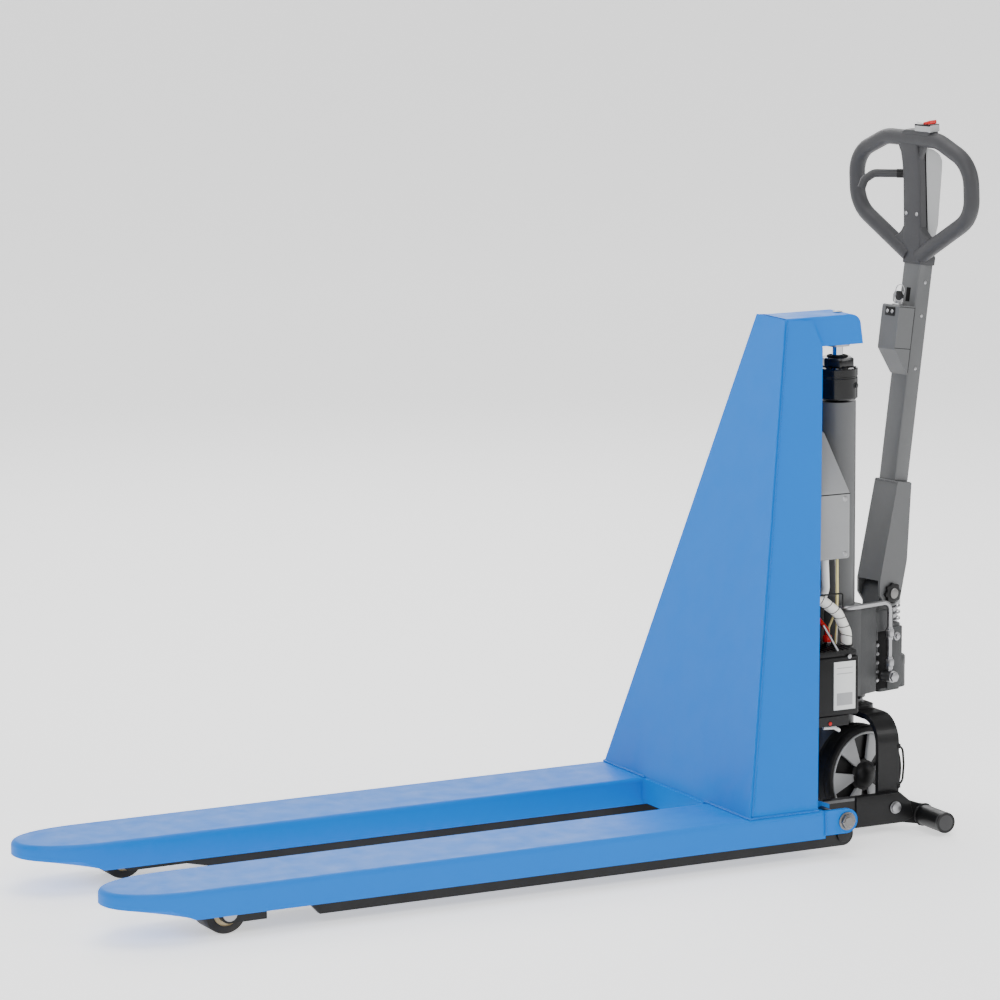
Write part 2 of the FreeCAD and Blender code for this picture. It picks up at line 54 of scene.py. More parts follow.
MM = 0.001
SHIFT = 497.25            # heel bolt to the middle of the truck
STEER_X = 137             # lift cylinder axis from the heel bolt
TURN = 12                 # steering at rest, degrees
LEAN = 8.5                # tiller from upright, degrees
HEAD_LEAN = -2.5          # handle from upright, degrees
PIN = (108, 400)          # tilt pin from the cylinder axis
TUBE_LONG = 600
FORK_TIP = -1366
FORK_MID = 190
FORK_HALF = 80
FORK_TOP = 85
NOSE_LONG = 150
HOLLOW_START = FORK_TIP + 134
TOWER_FOOT = -191
TOWER_LEAN = 12.96
HEEL_HIGH = 63.5
SHAFT_HIGH = 37.5
ROLLER_X = -1167
CROSS_PIN = (-583.5, 0, 50.5)
WHEEL_SIDE = 60.5
WHEEL_HIGH = 90
SPRING_X = 139
FOOT = (233.6, 23.4)
HARNESS = [(-2, -115, 337), (-2, -115, 424), (36, -115, 426), (72, -115, 398), (90, -115, 362),
    (90, -115, 337)]


def rotation(degrees, axis):
    """A turn about one axis."""
    return Matrix.Rotation(math.radians(degrees), 4, axis)


def places():
    """The four local places as matrices into the truck's own frame, still in millimetres."""
    truck = Matrix.Translation((SHIFT, 0, 0))
    steer = Matrix.Translation((SHIFT + STEER_X, 0, 0)) @ rotation(TURN, "Z")
    tiller = steer @ Matrix.Translation((PIN[0], 0, PIN[1])) @ rotation(LEAN, "Y")
    lean = math.radians(LEAN)
    top = Matrix.Translation((PIN[0] + TUBE_LONG * math.sin(lean), 0, PIN[1] + TUBE_LONG * math.cos(lean)))
    return {"truck": truck, "steer": steer, "tiller": tiller,
            "head": steer @ top @ rotation(HEAD_LEAN, "Y")}


PLACES = places()
AXES = {"x": rotation(90, "Y"), "y": rotation(-90, "X"), "z": Matrix.Identity(4)}


# ---- shapes ----------------------------------------------------------------------------------
class Shape:
    """Collects solids into one mesh."""

    def __init__(self, place="truck"):
        self.place = PLACES[place]
        self.mesh = bmesh.new()

    def add(self, part, matrix=None):
        """Moves a part to its place and joins it to the piece."""
        if matrix is not None:
            part.transform(matrix)
        bmesh.ops.recalc_face_normals(part, faces=part.faces)
        holder = bpy.data.meshes.new("part")
        part.to_mesh(holder)
        part.free()
        self.mesh.from_mesh(holder)
        bpy.data.meshes.remove(holder)
        return self

    def block(self, x, y, z, bevel=0.8, steps=2, matrix=None):
        """A box between pairs of limits, with rounded edges."""
        part = bmesh.new()
        bmesh.ops.create_cube(part, size=1)
        size = (x[1] - x[0], y[1] - y[0], z[1] - z[0])
        bmesh.ops.scale(part, vec=size, verts=part.verts)
        soften(part, bevel, steps)
        middle = Matrix.Translation([(a + b) / 2 for a, b in (x, y, z)])
        return self.add(part, matrix @ middle if matrix else middle)

    def prism(self, plane, outline, low, high, bevel=0.8, steps=2, matrix=None):
        """A polygon given in plane XZ, XY or YZ, filled from low to high along the third axis."""
        part = bmesh.new()
        spots = {"XZ": lambda a, b: (a, low, b), "XY": lambda a, b: (a, b, low),
                 "YZ": lambda a, b: (low, a, b)}[plane]
        away = {"XZ": (0, high - low, 0), "XY": (0, 0, high - low), "YZ": (high - low, 0, 0)}[plane]
        extrude(part, [spots(a, b) for a, b in outline], away)
        soften(part, bevel, steps)
        return self.add(part, matrix)

    def lathe(self, axis, centre, profile, segments=64, matrix=None):
        """Turns (radius, height) pairs about an axis through centre. The ends close at radius 0."""
        part = bmesh.new()
        rings = []
        for radius, height in profile:
            if radius <= 1e-6:
                rings.append([part.verts.new((0, 0, height))])
                continue
            rings.append([part.verts.new((radius * math.cos(2 * math.pi * k / segments),
                                          radius * math.sin(2 * math.pi * k / segments), height))
                          for k in range(segments)])
        pairs = list(zip(rings, rings[1:]))
        if len(rings[0]) > 1:
            pairs.append((rings[-1], rings[0]))
        for lower, upper in pairs:
            for k in range(segments):
                n = (k + 1) % segments
                corners = [lower[k % len(lower)], lower[n % len(lower)],
                           upper[n % len(upper)], upper[k % len(upper)]]
                face = list(dict.fromkeys(corners))
                if len(face) > 2:
                    part.faces.new(face)
        spot = Matrix.Translation(centre) @ AXES[axis]
        return self.add(part, matrix @ spot if matrix else spot)

    def rod(self, axis, centre, length, radius, bevel=0.8, segments=48, matrix=None):
        """A round bar from centre along an axis, with rounded ends."""
        edge = min(bevel, length / 3, radius / 3)
        soft = edge * 0.3
        profile = [(0, 0), (radius - edge, 0), (radius - soft, soft), (radius, edge), (radius, length - edge),
                   (radius - soft, length - soft), (radius - edge, length), (0, length)]
        return self.lathe(axis, centre, profile, segments, matrix)

    def tube(self, points, radius, bend=20, segments=20, closed=False):
        """A round bar along straight runs joined by tangent arcs."""
        path = bent(points, bend, closed)
        part = bmesh.new()
        count = len(path)
        heading = [(path[(i + 1) % count] - path[i - 1]).normalized() if closed or 0 < i < count - 1
                   else (path[min(i + 1, count - 1)] - path[max(i - 1, 0)]).normalized()
                   for i in range(count)]
        normal = heading[0].orthogonal().normalized()
        rings = []
        for spot, ahead in zip(path, heading):
            normal = (normal - ahead * normal.dot(ahead)).normalized()
            side = ahead.cross(normal)
            rings.append([part.verts.new(spot + radius * (normal * math.cos(a) + side * math.sin(a)))
                          for a in (2 * math.pi * k / segments for k in range(segments))])
        join(part, rings, closed)
        return self.add(part)

    def hexagon(self, axis, centre, length, across, matrix=None):
        """A chamfered hexagon head, across its flats."""
        r = across / math.sqrt(3)
        part = bmesh.new()
        spots = [(r * math.cos(math.pi * k / 3), r * math.sin(math.pi * k / 3), 0) for k in range(6)]
        extrude(part, spots, (0, 0, length))
        soften(part, across * 0.05, 2)
        spot = Matrix.Translation(centre) @ AXES[axis]
        return self.add(part, matrix @ spot if matrix else spot)

    def bolt(self, axis, centre, across=13, high=5.5, up=1, washer=True):
        """A hexagon bolt head on a washer. up is +1 or -1 along the axis."""
        flip = Matrix.Identity(4) if up > 0 else rotation(180, "X" if axis == "z" else "Z")
        where = Matrix.Translation(centre) @ flip
        if washer:
            self.rod(axis, (0, 0, 0), 1.6, across * 0.85, 0.4, matrix=where)
        lift = {"x": (1.6, 0, 0), "y": (0, 1.6, 0), "z": (0, 0, 1.6)}[axis]
        return self.hexagon(axis, lift, high, across, where)

    def done(self, name, body, material, stands_for=(), sharp=32):
        """Makes the object, sets its finish and lets it ride on a body."""
        self.mesh.transform(Matrix.Scale(MM, 4) @ self.place)
        data = bpy.data.meshes.new(name)
        self.mesh.to_mesh(data)
        self.mesh.free()
        return settle(name, data, body, material, stands_for, sharp)


def show(name, data):
    """A new object in the scene."""
    item = bpy.data.objects.new(name, data)
    bpy.context.scene.collection.objects.link(item)
    return item


def settle(name, data, body, material, stands_for=(), sharp=32):
    """Turns a mesh into a shaded piece that rides on a body and may stand for CAD nodes."""
    data.polygons.foreach_set("use_smooth", [True] * len(data.polygons))
    data.set_sharp_from_angle(angle=math.radians(sharp))
    data.materials.clear()
    data.materials.append(bpy.data.materials["look_" + material])
    item = show(name, data)
    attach(item, body)
    if stands_for:
        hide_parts(*stands_for)
    return item


def join(part, rings, closed=False):
    """Skins a row of rings of equal size, with capped ends unless the row is closed."""
    for lower, upper in list(zip(rings, rings[1:])) + ([(rings[-1], rings[0])] if closed else []):
        for k in range(len(lower)):
            n = (k + 1) % len(lower)
            part.faces.new((lower[k], lower[n], upper[n], upper[k]))
    if not closed:
        part.faces.new(rings[0][::-1])
        part.faces.new(rings[-1])


def extrude(part, spots, away):
    """A closed outline filled and drawn out along a vector."""
    face = part.faces.new([part.verts.new(spot) for spot in spots])
    grown = bmesh.ops.extrude_face_region(part, geom=[face])["geom"]
    moved = [item for item in grown if isinstance(item, bmesh.types.BMVert)]
    bmesh.ops.translate(part, vec=away, verts=moved)


def soften(part, width, steps):
    """Rounds the sharp edges of a part."""
    if width <= 0:
        return
    bmesh.ops.recalc_face_normals(part, faces=part.faces)
    sharp = [edge for edge in part.edges if edge.is_manifold and edge.calc_face_angle(0) > 0.35]
    bmesh.ops.bevel(part, geom=sharp, offset=width, segments=steps, profile=0.5, affect="EDGES",
                    clamp_overlap=True)


def bent(points, bend, closed=False):
    """Points along straight runs and tangent arcs."""
    points = [Vector(point) for point in points]
    count = len(points)
    path = [] if closed else [points[0]]
    for i in range(count) if closed else range(1, count - 1):
        before, corner, after = points[i - 1], points[i], points[(i + 1) % count]
        back, ahead = (before - corner), (after - corner)
        room = min(back.length, ahead.length) * 0.49
        back.normalize()
        ahead.normalize()
        half = max(0.05, back.angle(ahead) / 2)
        if half > 1.55:
            path.append(corner)
            continue
        radius = min(bend, room * math.tan(half))
        reach = radius / math.tan(half)
        centre = corner + (back + ahead).normalized() * (radius / math.sin(half))
        start, end = corner + back * reach - centre, corner + ahead * reach - centre
        steps = max(3, int((math.pi - 2 * half) / 0.16))
        for k in range(steps + 1):
            path.append(centre + radius * start.normalized().slerp(end.normalized(), k / steps))
    if not closed:
        path.append(points[-1])
    return path


def make_node(nodes, kind, **settings):
    """A node with its settings. inputs gives the value of a socket by name or number."""
    node = nodes.new(kind)
    for key, value in settings.pop("inputs", {}).items():
        node.inputs[key].default_value = value
    for key, value in settings.items():
        setattr(node, key, value)
    return node


# ---- repeats made with geometry nodes --------------------------------------------------------------
def repeat_group(name):
    """A node group that puts copies of a unit along a path, evenly spaced and slightly varied."""
    group = bpy.data.node_groups.new(name, "GeometryNodeTree")
    face = group.interface
    face.new_socket("Geometry", in_out="INPUT", socket_type="NodeSocketGeometry")
    face.new_socket("Unit", in_out="INPUT", socket_type="NodeSocketObject")
    for label in ("Spacing", "Size change", "Turn change"):
        face.new_socket(label, in_out="INPUT", socket_type="NodeSocketFloat")
    face.new_socket("Finish", in_out="INPUT", socket_type="NodeSocketMaterial")
    face.new_socket("Geometry", in_out="OUTPUT", socket_type="NodeSocketGeometry")
    nodes, link = group.nodes, group.links.new
    come = nodes.new("NodeGroupInput")
    leave = nodes.new("NodeGroupOutput")
    curve = nodes.new("GeometryNodeMeshToCurve")
    evenly = make_node(nodes, "GeometryNodeResampleCurve", mode="LENGTH")
    unit = nodes.new("GeometryNodeObjectInfo")
    tangent = nodes.new("GeometryNodeInputTangent")
    aim = make_node(nodes, "FunctionNodeAlignRotationToVector", axis="X")
    copies = nodes.new("GeometryNodeInstanceOnPoints")
    size = random_node(nodes, link, come.outputs["Size change"], 3, 1.0)
    spin = random_node(nodes, link, come.outputs["Turn change"], 7, 0.0)
    tilt = make_node(nodes, "FunctionNodeRotateRotation", rotation_space="LOCAL")
    about = make_node(nodes, "FunctionNodeAxisAngleToRotation", inputs={"Axis": (1, 0, 0)})
    real = nodes.new("GeometryNodeRealizeInstances")
    coat = nodes.new("GeometryNodeSetMaterial")
    for start, end in (
            (come.outputs["Geometry"], curve.inputs[0]), (curve.outputs[0], evenly.inputs["Curve"]),
            (come.outputs["Spacing"], evenly.inputs["Length"]), (evenly.outputs[0], copies.inputs["Points"]),
            (come.outputs["Unit"], unit.inputs["Object"]),
            (unit.outputs["Geometry"], copies.inputs["Instance"]), (tangent.outputs[0], aim.inputs["Vector"]),
            (spin, about.inputs["Angle"]), (aim.outputs[0], tilt.inputs["Rotation"]),
            (about.outputs[0], tilt.inputs["Rotate By"]), (tilt.outputs[0], copies.inputs["Rotation"]),
            (size, copies.inputs["Scale"]), (copies.outputs[0], real.inputs[0]),
            (real.outputs[0], coat.inputs["Geometry"]), (come.outputs["Finish"], coat.inputs["Material"]),
            (coat.outputs[0], leave.inputs[0])):
        link(start, end)
    return group


def random_node(nodes, link, spread, seed, middle):
    """A random number around middle, within the spread, the same on every run."""
    number = make_node(nodes, "FunctionNodeRandomValue", data_type="FLOAT", inputs={"Seed": seed})
    named = {socket.identifier: socket for socket in number.inputs}
    for operation, end in (("SUBTRACT", "Min_001"), ("ADD", "Max_001")):
        limit = make_node(nodes, "ShaderNodeMath", operation=operation, inputs={0: middle})
        link(spread, limit.inputs[1])
        link(limit.outputs[0], named[end])
    return {socket.identifier: socket for socket in number.outputs}["Value_001"]


def repeat_along(name, place, paths, unit, spacing, body, material, size=0.0, spin=0.0, sharp=60):
    """Copies of a unit shape along one or more paths, joined into one piece."""
    scale = Matrix.Scale(MM, 4)
    lines = bmesh.new()
    for path in paths:
        spots = [lines.verts.new(scale @ PLACES[place] @ Vector(point)) for point in path]
        for first, second in zip(spots, spots[1:]):
            lines.edges.new((first, second))
    data = bpy.data.meshes.new(name + "_path")
    lines.to_mesh(data)
    lines.free()
    holder = show(name + "_path", data)
    unit.mesh.transform(scale)
    unit_data = bpy.data.meshes.new(name + "_unit")
    unit.mesh.to_mesh(unit_data)
    unit.mesh.free()
    unit_item = show(name + "_unit", unit_data)
    group = bpy.data.node_groups.get("repeat") or repeat_group("repeat")
    modifier = holder.modifiers.new("repeat", "NODES")
    modifier.node_group = group
    values = {"Unit": unit_item, "Spacing": spacing * MM, "Size change": size,
              "Turn change": spin, "Finish": bpy.data.materials["look_" + material]}
    for socket in group.interface.items_tree:
        if socket.in_out == "INPUT" and socket.name in values:
            modifier[socket.identifier] = values[socket.name]
    bpy.context.view_layer.update()
    seen = holder.evaluated_get(bpy.context.evaluated_depsgraph_get())
    result = bpy.data.meshes.new_from_object(seen)
    result.name = name
    holder.modifiers.clear()
    for item in (holder, unit_item):
        bpy.data.objects.remove(item)
    if not result.polygons:
        raise RuntimeError(name + " made no copies")
    return settle(name, result, body, material, sharp=sharp)


def blob(long, wide, high):
    """A rounded lump used for weld ripples."""
    shape = Shape()
    shape.place = Matrix.Identity(4)
    part = bmesh.new()
    bmesh.ops.create_icosphere(part, subdivisions=2, radius=1)
    bmesh.ops.scale(part, vec=(long, wide, high), verts=part.verts)
    return shape.add(part)


def srgb(r, g, b):
    """Screen colour (0 to 255) as linear light."""
    def one(value):
        value /= 255
        return value / 12.92 if value <= 0.04045 else ((value + 0.055) / 1.055) ** 2.4
    return one(r), one(g), one(b), 1


def finish(name, colour, rough=0.4, metal=0.0, vary=0.12, grain=60.0, bump=0.05, wear=0.0,
           worn=(0.35, 0.35, 0.36, 1), coat=0.0, dirt=0.0, stretch=(1, 1, 1), sheen=0.12, shine=0.25):
    """A procedural finish: drifting colour, roughness and bump, dust and worn edges."""
    material = bpy.data.materials.new("look_" + name)
    material.use_nodes = True
    nodes, link = material.node_tree.nodes, material.node_tree.links.new
    shader = nodes["Principled BSDF"]
    for key, value in (("Metallic", metal), ("Specular IOR Level", shine), ("Coat Weight", coat),
                       ("Coat Roughness", 0.08)):
        shader.inputs[key].default_value = value
    place = nodes.new("ShaderNodeTexCoord")
    spread = make_node(nodes, "ShaderNodeMapping", inputs={"Scale": stretch})
    link(place.outputs["Object"], spread.inputs["Vector"])

    def noise(scale, detail):
        node = make_node(nodes, "ShaderNodeTexNoise", inputs={"Scale": scale, "Detail": detail})
        link(spread.outputs[0], node.inputs["Vector"])
        return node.outputs["Fac"]

    def blend_of(factor, first, second):
        node = make_node(nodes, "ShaderNodeMix", data_type="RGBA")
        link(factor, node.inputs["Factor"])
        for side, value in (("A", first), ("B", second)):
            pick = [s for s in node.inputs if s.name == side and s.type == "RGBA"][0]
            if isinstance(value, tuple):
                pick.default_value = value
            else:
                link(value, pick)
        return [s for s in node.outputs if s.type == "RGBA"][0]

    def band(source, low, high, start=0.0, end=1.0):
        node = make_node(nodes, "ShaderNodeMapRange", inputs={1: low, 2: high, 3: start, 4: end})
        link(source, node.inputs[0])
        return node.outputs[0]

    dark = tuple(c * (1 - vary) for c in colour[:3]) + (1,)
    light = tuple(min(1, c * (1 + vary)) for c in colour[:3]) + (1,)
    shade = blend_of(noise(9, 4), dark, light)
    shade = blend_of(band(noise(140, 3), 0.35, 0.7, 0, 0.35), shade, dark)
    if dirt:
        dusty = band(noise(5.5, 8), 0.52, 0.78, 0, dirt)
        shade = blend_of(dusty, shade, (0.30, 0.28, 0.25, 1))
    rough_out = band(noise(24, 6), 0.3, 0.7, max(0.03, rough - sheen / 2), min(1, rough + sheen))
    if wear:
        soft = make_node(nodes, "ShaderNodeBevel", samples=4, inputs={"Radius": 0.0016})
        flat = nodes.new("ShaderNodeNewGeometry")
        turned = make_node(nodes, "ShaderNodeVectorMath", operation="DOT_PRODUCT")
        link(soft.outputs[0], turned.inputs[0])
        link(flat.outputs["Normal"], turned.inputs[1])
        edge = band(turned.outputs["Value"], 0.995, 0.90)
        patch = make_node(nodes, "ShaderNodeMath", operation="MULTIPLY")
        link(edge, patch.inputs[0])
        link(band(noise(70, 5), 0.48, 0.62, 0, wear), patch.inputs[1])
        shade = blend_of(patch.outputs[0], shade, worn)
    ripple = make_node(nodes, "ShaderNodeBump", inputs={"Strength": bump, "Distance": 0.001})
    link(noise(grain * 10, 3), ripple.inputs["Height"])
    link(shade, shader.inputs["Base Color"])
    link(rough_out, shader.inputs["Roughness"])
    link(ripple.outputs[0], shader.inputs["Normal"])
    return material


def make_finishes():
    """Every finish of the truck."""
    finish("blue_paint", (0.0, 0.16, 0.6, 1), 0.38, vary=0.02, grain=40, bump=0.03, wear=0.1,
           worn=(0.0, 0.2, 0.62, 1), shine=0.1)
    finish("weld_blue", (0.0, 0.14, 0.54, 1), 0.36, vary=0.10, grain=120, bump=0.2, shine=0.2)
    finish("black_paint", srgb(16, 16, 17), 0.36, vary=0.25, grain=60, bump=0.10, wear=0.5,
           worn=(0.10, 0.10, 0.105, 1), coat=0.1, dirt=0.03)
    finish("gloss_black", srgb(14, 14, 15), 0.2, vary=0.2, grain=60, bump=0.05, wear=0.3,
           worn=(0.12, 0.12, 0.12, 1), coat=0.3)
    finish("grey_paint", srgb(92, 93, 94), 0.38, vary=0.07, grain=50, bump=0.10, wear=0.4,
           worn=(0.20, 0.20, 0.205, 1), coat=0.12, dirt=0.02)
    finish("cover_paint", srgb(142, 143, 144), 0.4, vary=0.05, grain=50, bump=0.10, coat=0.1)
    finish("grey_cast", srgb(68, 69, 70), 0.44, vary=0.12, grain=30, bump=0.4, wear=0.5,
           worn=(0.16, 0.16, 0.165, 1), dirt=0.03)
    finish("zinc", srgb(158, 158, 160), 0.3, 1.0, vary=0.12, grain=80, bump=0.08, wear=0.5,
           worn=(0.62, 0.62, 0.63, 1), dirt=0.03)
    finish("zinc_dull", srgb(122, 121, 120), 0.34, 1.0, vary=0.2, grain=90, bump=0.15, wear=0.6,
           worn=(0.62, 0.61, 0.6, 1), dirt=0.1)
    finish("foot_plastic", srgb(62, 62, 63), 0.45, vary=0.1, grain=100, bump=0.2)
    finish("chrome_rod", srgb(215, 216, 220), 0.1, 1.0, vary=0.03, grain=90, bump=0.02,
           stretch=(1, 1, 0.1), sheen=0.05)
    finish("handle_plastic", srgb(64, 64, 66), 0.44, vary=0.10, grain=110, bump=0.22)
    finish("case_plastic", srgb(166, 167, 168), 0.42, vary=0.05, grain=110, bump=0.15)
    finish("black_plastic", srgb(17, 17, 18), 0.4, vary=0.2, grain=110, bump=0.2, dirt=0.02)
    finish("tyre_rubber", srgb(20, 20, 21), 0.62, vary=0.25, grain=70, bump=0.4, dirt=0.06)
    finish("roller_poly", srgb(34, 33, 33), 0.5, vary=0.2, grain=60, bump=0.25, dirt=0.2)
    finish("roller_hub", srgb(196, 178, 140), 0.45, vary=0.08, grain=60, bump=0.12, dirt=0.10)
    finish("rim_grey", srgb(172, 173, 174), 0.4, vary=0.06, grain=60, bump=0.15, dirt=0.03)
    finish("white_wrap", srgb(226, 226, 220), 0.38, vary=0.05, grain=60, bump=0.1, dirt=0.08)
    finish("wire_yellow", srgb(212, 200, 140), 0.4, vary=0.06, bump=0.06)
    finish("red_plastic", srgb(200, 26, 24), 0.3, vary=0.06, bump=0.06)
    finish("white_plastic", srgb(228, 228, 226), 0.34, vary=0.03, bump=0.05)
    finish("label_sheet", srgb(222, 224, 222), 0.35, vary=0.02, grain=20, bump=0.03)
    finish("dark_gap", srgb(8, 8, 9), 0.8, vary=0.1, bump=0.05)


NODE_FINISH = { "blue_paint": ("fork", "fork_heel", "heel_lug", "cross_panel", "tower_front", "tower_side",
    "tower_cap"), "zinc": ("heel_pin", "cross_pin", "roller_axle", "tilt_pin", "pump_spring", "pump_plunger",
    "gland_nut", "axle_carrier", "scissor_shaft", "pressure_pipe", "key"), "chrome_rod": ("lift_rod",),
    "grey_paint": ("lift_cylinder", "power_cover", "tiller_bracket", "tiller_tube", "control_box"),
    "grey_cast": ("pump_housing",), "black_paint": ("side_bar", "wheel_arch", "bearing_plate", "deck",
    "outer_cheek", "inner_cheek", "arm_tie", "roller_arm"), "black_plastic": ("charger_box", "battery_pack",
    "switch_pod", "arch_cable"), "handle_plastic": ("handle_loop", "handle_head", "lowering_lever"),
    "roller_poly": ("load_roller", "track_roller"), "tyre_rubber": ("steer_wheel",),
    "white_wrap": ("harness_loop",), "wire_yellow": ("signal_wire",), "red_plastic": ("rocker_switch",), }


def coat_frame(width):
    """Gives every CAD node its finish and slightly rounded edges."""
    lookup = {node: material for material, names in NODE_FINISH.items() for node in names}
    for name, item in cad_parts.items():
        plain = name.replace("_left", "").replace("_right", "")
        item.data.materials.clear()
        item.data.materials.append(bpy.data.materials["look_" + lookup[plain]])
        if plain in ("pump_spring", "harness_loop", "signal_wire", "arch_cable", "pressure_pipe"):
            continue
        rounding = item.modifiers.new("edges", "BEVEL")
        rounding.width = width * MM
        rounding.segments = 2
        rounding.limit_method = "ANGLE"
        rounding.angle_limit = math.radians(40)
        rounding.harden_normals = True


# ---- pieces ------------------------------------------------------------------------------------
def facing(side, centre):
    """A place at centre whose -Y looks outwards on the given side (-1 left, 1 right)."""
    return Matrix.Translation(centre) @ rotation(0 if side < 0 else 180, "Z")


def side_rods(centre, *rods):
    """Rods (start, length, radius, bevel) along Y on both sides of the truck, mirrored by a half turn."""
    shape = Shape("truck")
    for side in (-1, 1):
        where = facing(side, (centre[0], side * centre[1], centre[2]))
        for start, length, radius, bevel in rods:
            shape.rod("y", (0, start, 0), length, radius, bevel, matrix=where)
    return shape


def fork_outline(inset):
    """Plan of one fork about its own middle line, moved inwards by inset."""
    tip, half = FORK_TIP, FORK_HALF
    spots = [(TOWER_FOOT, -half), (-700, -half), (tip + 300, -half), (tip + 215, -half), (tip + 170, -half)]
    for k in range(37):
        angle = math.pi * k / 36
        forward = abs(math.sin(angle)) ** 0.9
        aside = math.copysign(abs(math.cos(angle)) ** 0.9, math.cos(angle))
        spots.append((tip + NOSE_LONG * (1 - forward), -half * aside))
    spots += [(x, -y) for x, y in spots[4::-1]]
    result = []
    for k, (x, y) in enumerate(spots):
        if k in (0, len(spots) - 1):
            result.append((x, y - math.copysign(inset, y)))
            continue
        along = Vector((spots[k + 1][0] - spots[k - 1][0], spots[k + 1][1] - spots[k - 1][1])).normalized()
        result.append((x + along.y * inset, y - along.x * inset))
    return result


def fork_base(x):
    """Height of the lower edge of a fork at x."""
    marks = [(FORK_TIP, 60), (FORK_TIP + 93, 55), (HOLLOW_START, 37), (0, 37)]
    for (first, low), (second, high) in zip(marks, marks[1:]):
        if x <= second:
            return low + (high - low) * max(0.0, x - first) / (second - first)
    return 37


def build_forks(settings):
    """Fork shells with rounded edges and a rounded nose, closed at the heel end."""
    round_by = settings.fork_round
    for side, word in ((-1, "left"), (1, "right")):
        part = bmesh.new()
        plain = fork_outline(0)

        def ring(outline, heights):
            return [part.verts.new((x, y + side * FORK_MID, z)) for (x, y), z in zip(outline, heights)]

        inner = [(max(x, HOLLOW_START), y) for x, y in fork_outline(5)]
        rings = [ring(inner, [80] * len(plain)), ring(inner, [fork_base(x) for x, _ in inner]),
                 ring(fork_outline(1), [fork_base(x) for x, _ in plain]),
                 ring(plain, [fork_base(x) + 1 for x, _ in plain])]
        for k in range(7):
            angle = math.radians(15 * k)
            inset = round_by * (1 - math.cos(angle))
            height = FORK_TOP - round_by * (1 - math.sin(angle))
            rings.append(ring(fork_outline(inset), [height] * len(plain)))
        join(part, rings)
        bmesh.ops.remove_doubles(part, verts=part.verts, dist=0.01)
        bmesh.ops.dissolve_degenerate(part, dist=0.01, edges=part.edges)
        Shape("truck").add(part).done("fork_shell_" + word, "fork_frame", "blue_paint", ["fork_" + word], 30)


def build_frame_details(settings):
    """Welds, bolts and plates of the forks and the tower."""
    ripple = settings.weld_spacing
    lean = math.tan(math.radians(TOWER_LEAN))

    def edge(height, side):
        half = 262.5 - 0.2566 * (height - FORK_TOP)
        return (TOWER_FOOT + lean * (height - FORK_TOP) + 5, side * (half - 0.2), height)

    for side, word in ((-1, "left"), (1, "right")):
        repeat_along("weld_tower_edge_" + word, "truck", [[edge(92, side), edge(908, side)]],
                     blob(3.2, 2.1, 1.9), ripple, "fork_frame", "weld_blue", 0.12, 0.5)
        base = [(-190, side * 262.6, 86), (-56, side * 262.6, 86)]
        front = [(-192, side * 258, 86), (-192, side * 112, 86)]
        lug = [(-43, side * 270.2, 46), (-43, side * 270.2, 80)]
        repeat_along("weld_tower_foot_" + word, "truck", [base, front, lug], blob(3.6, 2.8, 2.4), ripple,
                     "fork_frame", "weld_blue", 0.12, 0.5)
    nuts = Shape("truck")
    for side in (-1, 1):
        where = facing(side, (0, 0, HEEL_HIGH))
        nuts.rod("y", (0, -272.4, 0), 2.6, 16.2, 0.5, matrix=where)
        nuts.hexagon("y", (0, -278.0, 0), 5.8, 24, where)
        nuts.lathe("y", (0, -279.9, 0), [(0, 0), (7.6, 0), (8.6, 0.8), (8.6, 3), (0, 3)], 32, where)
        nuts.rod("x", (-12.5, -279.0, 0), 25, 0.95, 0.3, matrix=where)
    nuts.done("heel_nuts", "fork_frame", "zinc_dull", ["heel_pin_left", "heel_pin_right"])
    side_rods((0, 0, HEEL_HIGH), (-272, 120.5, 9, 0.6)).done("heel_pins", "fork_frame", "zinc_dull")
    seat = Shape("truck")
    seat.rod("z", (STEER_X, 0, 855), 9, 22, 0.8)
    seat.bolt("z", (STEER_X, 0, 914.6), 17, 0.4, 1, washer=False)
    seat.done("rod_seat", "fork_frame", "zinc")


